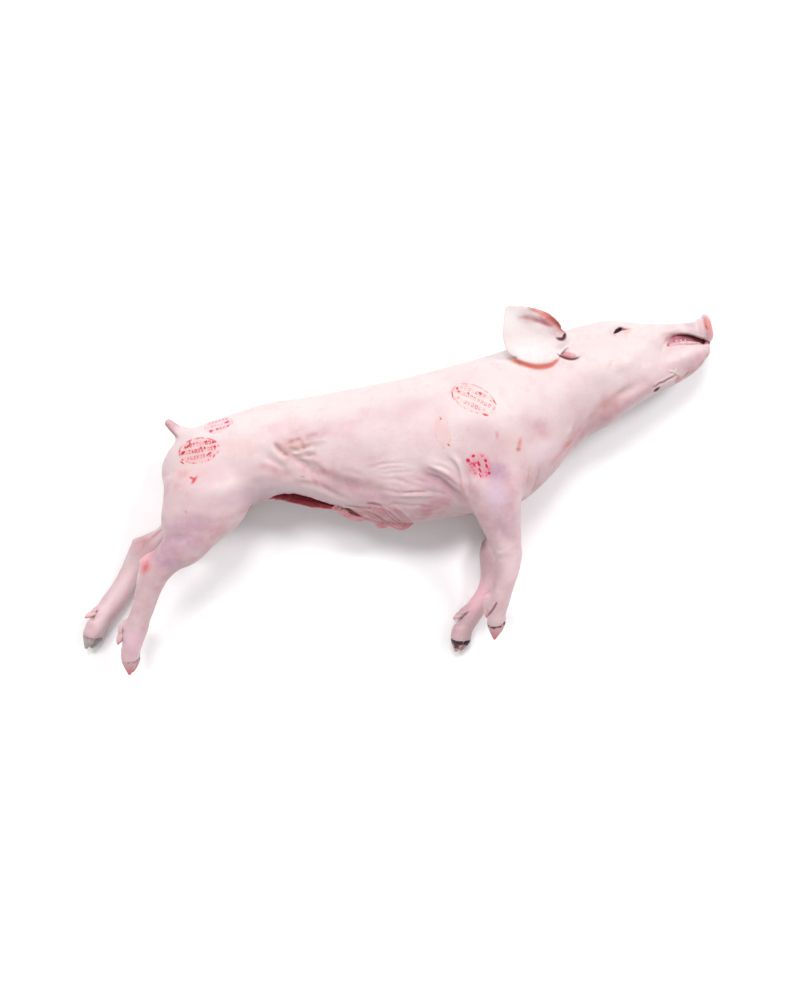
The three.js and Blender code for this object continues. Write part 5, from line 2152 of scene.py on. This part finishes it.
def belly_edge(points, normals):
    """Smooth folded membrane and the lower wall along the cut, the fibres over it, a dark strip of painted
    shade for a hollow, and fat.
    """
    shells = []
    for stations in MEMBRANES:
        shells.append(limb(drawn(stations, 26), 14, 130, MEMBRANE_TILT))
    raw = wet_flesh_finish("cut_wall", tone(186, 52, 64), tone(148, 32, 46), 0.75)
    piece("cut_wall", [limb(drawn(CUT_WALL, 20), 14, 90, CUT_TURN)], raw)
    shells.append(limb(drawn(CUT_LIP, 20), 10, 100))
    pink = wet_flesh_finish("membrane", tone(242, 174, 180), tone(226, 140, 150), 0.45, 0.4)
    piece("belly_membrane", shells, pink)
    pale = wet_flesh_finish("fibres", tone(248, 192, 198), tone(238, 166, 174), 0.45, 0.4)
    piece("belly_fibres", fibres(points, normals), pale)
    # painted shade: dark flesh laid where the cut has a hollow
    dark = wet_flesh_finish("hollow", tone(150, 74, 76), tone(108, 34, 38), 0.5)
    piece("belly_hollow_shade", [limb(HOLLOW_SHADE, 14, 40)], dark)
    fat = wet_flesh_finish("fat", tone(220, 172, 164), tone(184, 118, 116), 0.3, 0.4)
    piece("belly_fat", [ball(row[:3], row[3], 20) for row in FAT], fat)


# curls of cut skin beside the hole in the throat: [x, y, height over the skin, half breadth, half
# thickness]
CURLS = [
    [
        [503.5, -49.6, -0.6, 1.0, 0.6],
        [506.5, -50.6, 0.2, 1.5, 0.7],
        [510.5, -52.6, 0.9, 1.8, 0.7],
        [515, -57, 0, 0.9, 0.6],
    ],
    [
        [513.5, -49.2, -0.4, 0.8, 0.5],
        [511, -51, 0.7, 1.2, 0.6],
        [507, -54, 0.3, 1.2, 0.6],
        [503, -55.4, -0.8, 0.9, 0.6],
    ],
]


def throat_curl(points, normals):
    """The small curls of cut skin beside the hole in the throat."""
    shells = []
    for rows in CURLS:
        levels = [level_under(points, normals, x, y) for x, y, *_ in rows]
        stations = [[x, y, level + up, *size] for (x, y, up, *size), level in zip(rows, levels)]
        shells.append(limb(stations, 12, 30, CUT_TURN))
    flesh = wet_flesh_finish("cut_skin", tone(248, 224, 222), tone(240, 196, 196), 0.4, 0.4)
    piece("throat_curl", shells, flesh)


# ---- the stage

FLOOR_REACH = 30.0  # m, from the middle to each edge
# lights: the direction that each shines from, and its strength
LIGHTS = [[-0.386, 0.57, 0.95, 1.1], [0.124, 0.57, 0.95, 1.1], [0.8, 0.36, 0.85, 1.7]]
LIGHT_ANGLE = math.radians(15)
ROOM_LIGHT = 0.7
CAMERA_PLACE = [206.0, -117.0, 2200.0]
CAMERA_TURN = -math.radians(13.0)
CAMERA_LENS = 74.8  # focal length on a sensor of SENSOR_WIDTH, both in mm
SENSOR_WIDTH = 36.0


def table_top():
    """A wide pale floor: one flat sheet."""
    corners = [[-1, -1, 0], [1, -1, 0], [1, 1, 0], [-1, 1, 0]]
    mesh = bpy.data.meshes.new("table_top")
    mesh.from_pydata((FLOOR_REACH * np.array(corners)).tolist(), [], [(0, 1, 2, 3)])
    mesh.materials.append(floor_finish())
    made = in_scene("table_top", mesh)


def camera_above():
    """A camera straight above the animal, turned so that its back rises towards the snout."""
    data = bpy.data.cameras.new("overhead")
    data.sensor_width = SENSOR_WIDTH
    data.lens = CAMERA_LENS
    made = in_scene("overhead", data)
    made.location = tuple(to_frame(CAMERA_PLACE))
    made.rotation_euler = (0.0, 0.0, CAMERA_TURN)
    bpy.context.scene.camera = made


def soft_light():
    """Three soft lights side by side beyond the back, and white light from all round."""
    for number, (x, y, z, energy) in enumerate(LIGHTS):
        data = bpy.data.lights.new(f"window_{number}", "SUN")
        data.energy = energy
        data.angle = LIGHT_ANGLE
        made = in_scene(f"window_{number}", data)
        made.rotation_mode = "QUATERNION"
        made.rotation_quaternion = mathutils.Vector((x, y, z)).to_track_quat("Z", "Y")
    world = bpy.data.worlds.new("white_room")
    world.use_nodes = True
    background = world.node_tree.nodes["Background"]
    background.inputs["Color"].default_value = (1.0, 1.0, 1.0, 1.0)
    background.inputs["Strength"].default_value = ROOM_LIGHT
    bpy.context.scene.world = world
    bpy.context.scene.view_settings.view_transform = "Standard"


def main():
    """Builds every piece in turn."""
    skin = build_skin()
    points, normals = points_of(skin.data), normals_of(skin.data)
    skin.data.name = "skin"
    finished(skin, skin_finish(), skin_masks(points, normals))
    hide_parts(CAD_NODE)
    feet_horn()
    eyes(points, normals)
    mouth_pieces()
    belly_edge(points, normals)
    throat_curl(points, normals)
    table_top()
    camera_above()
    soft_light()


main()
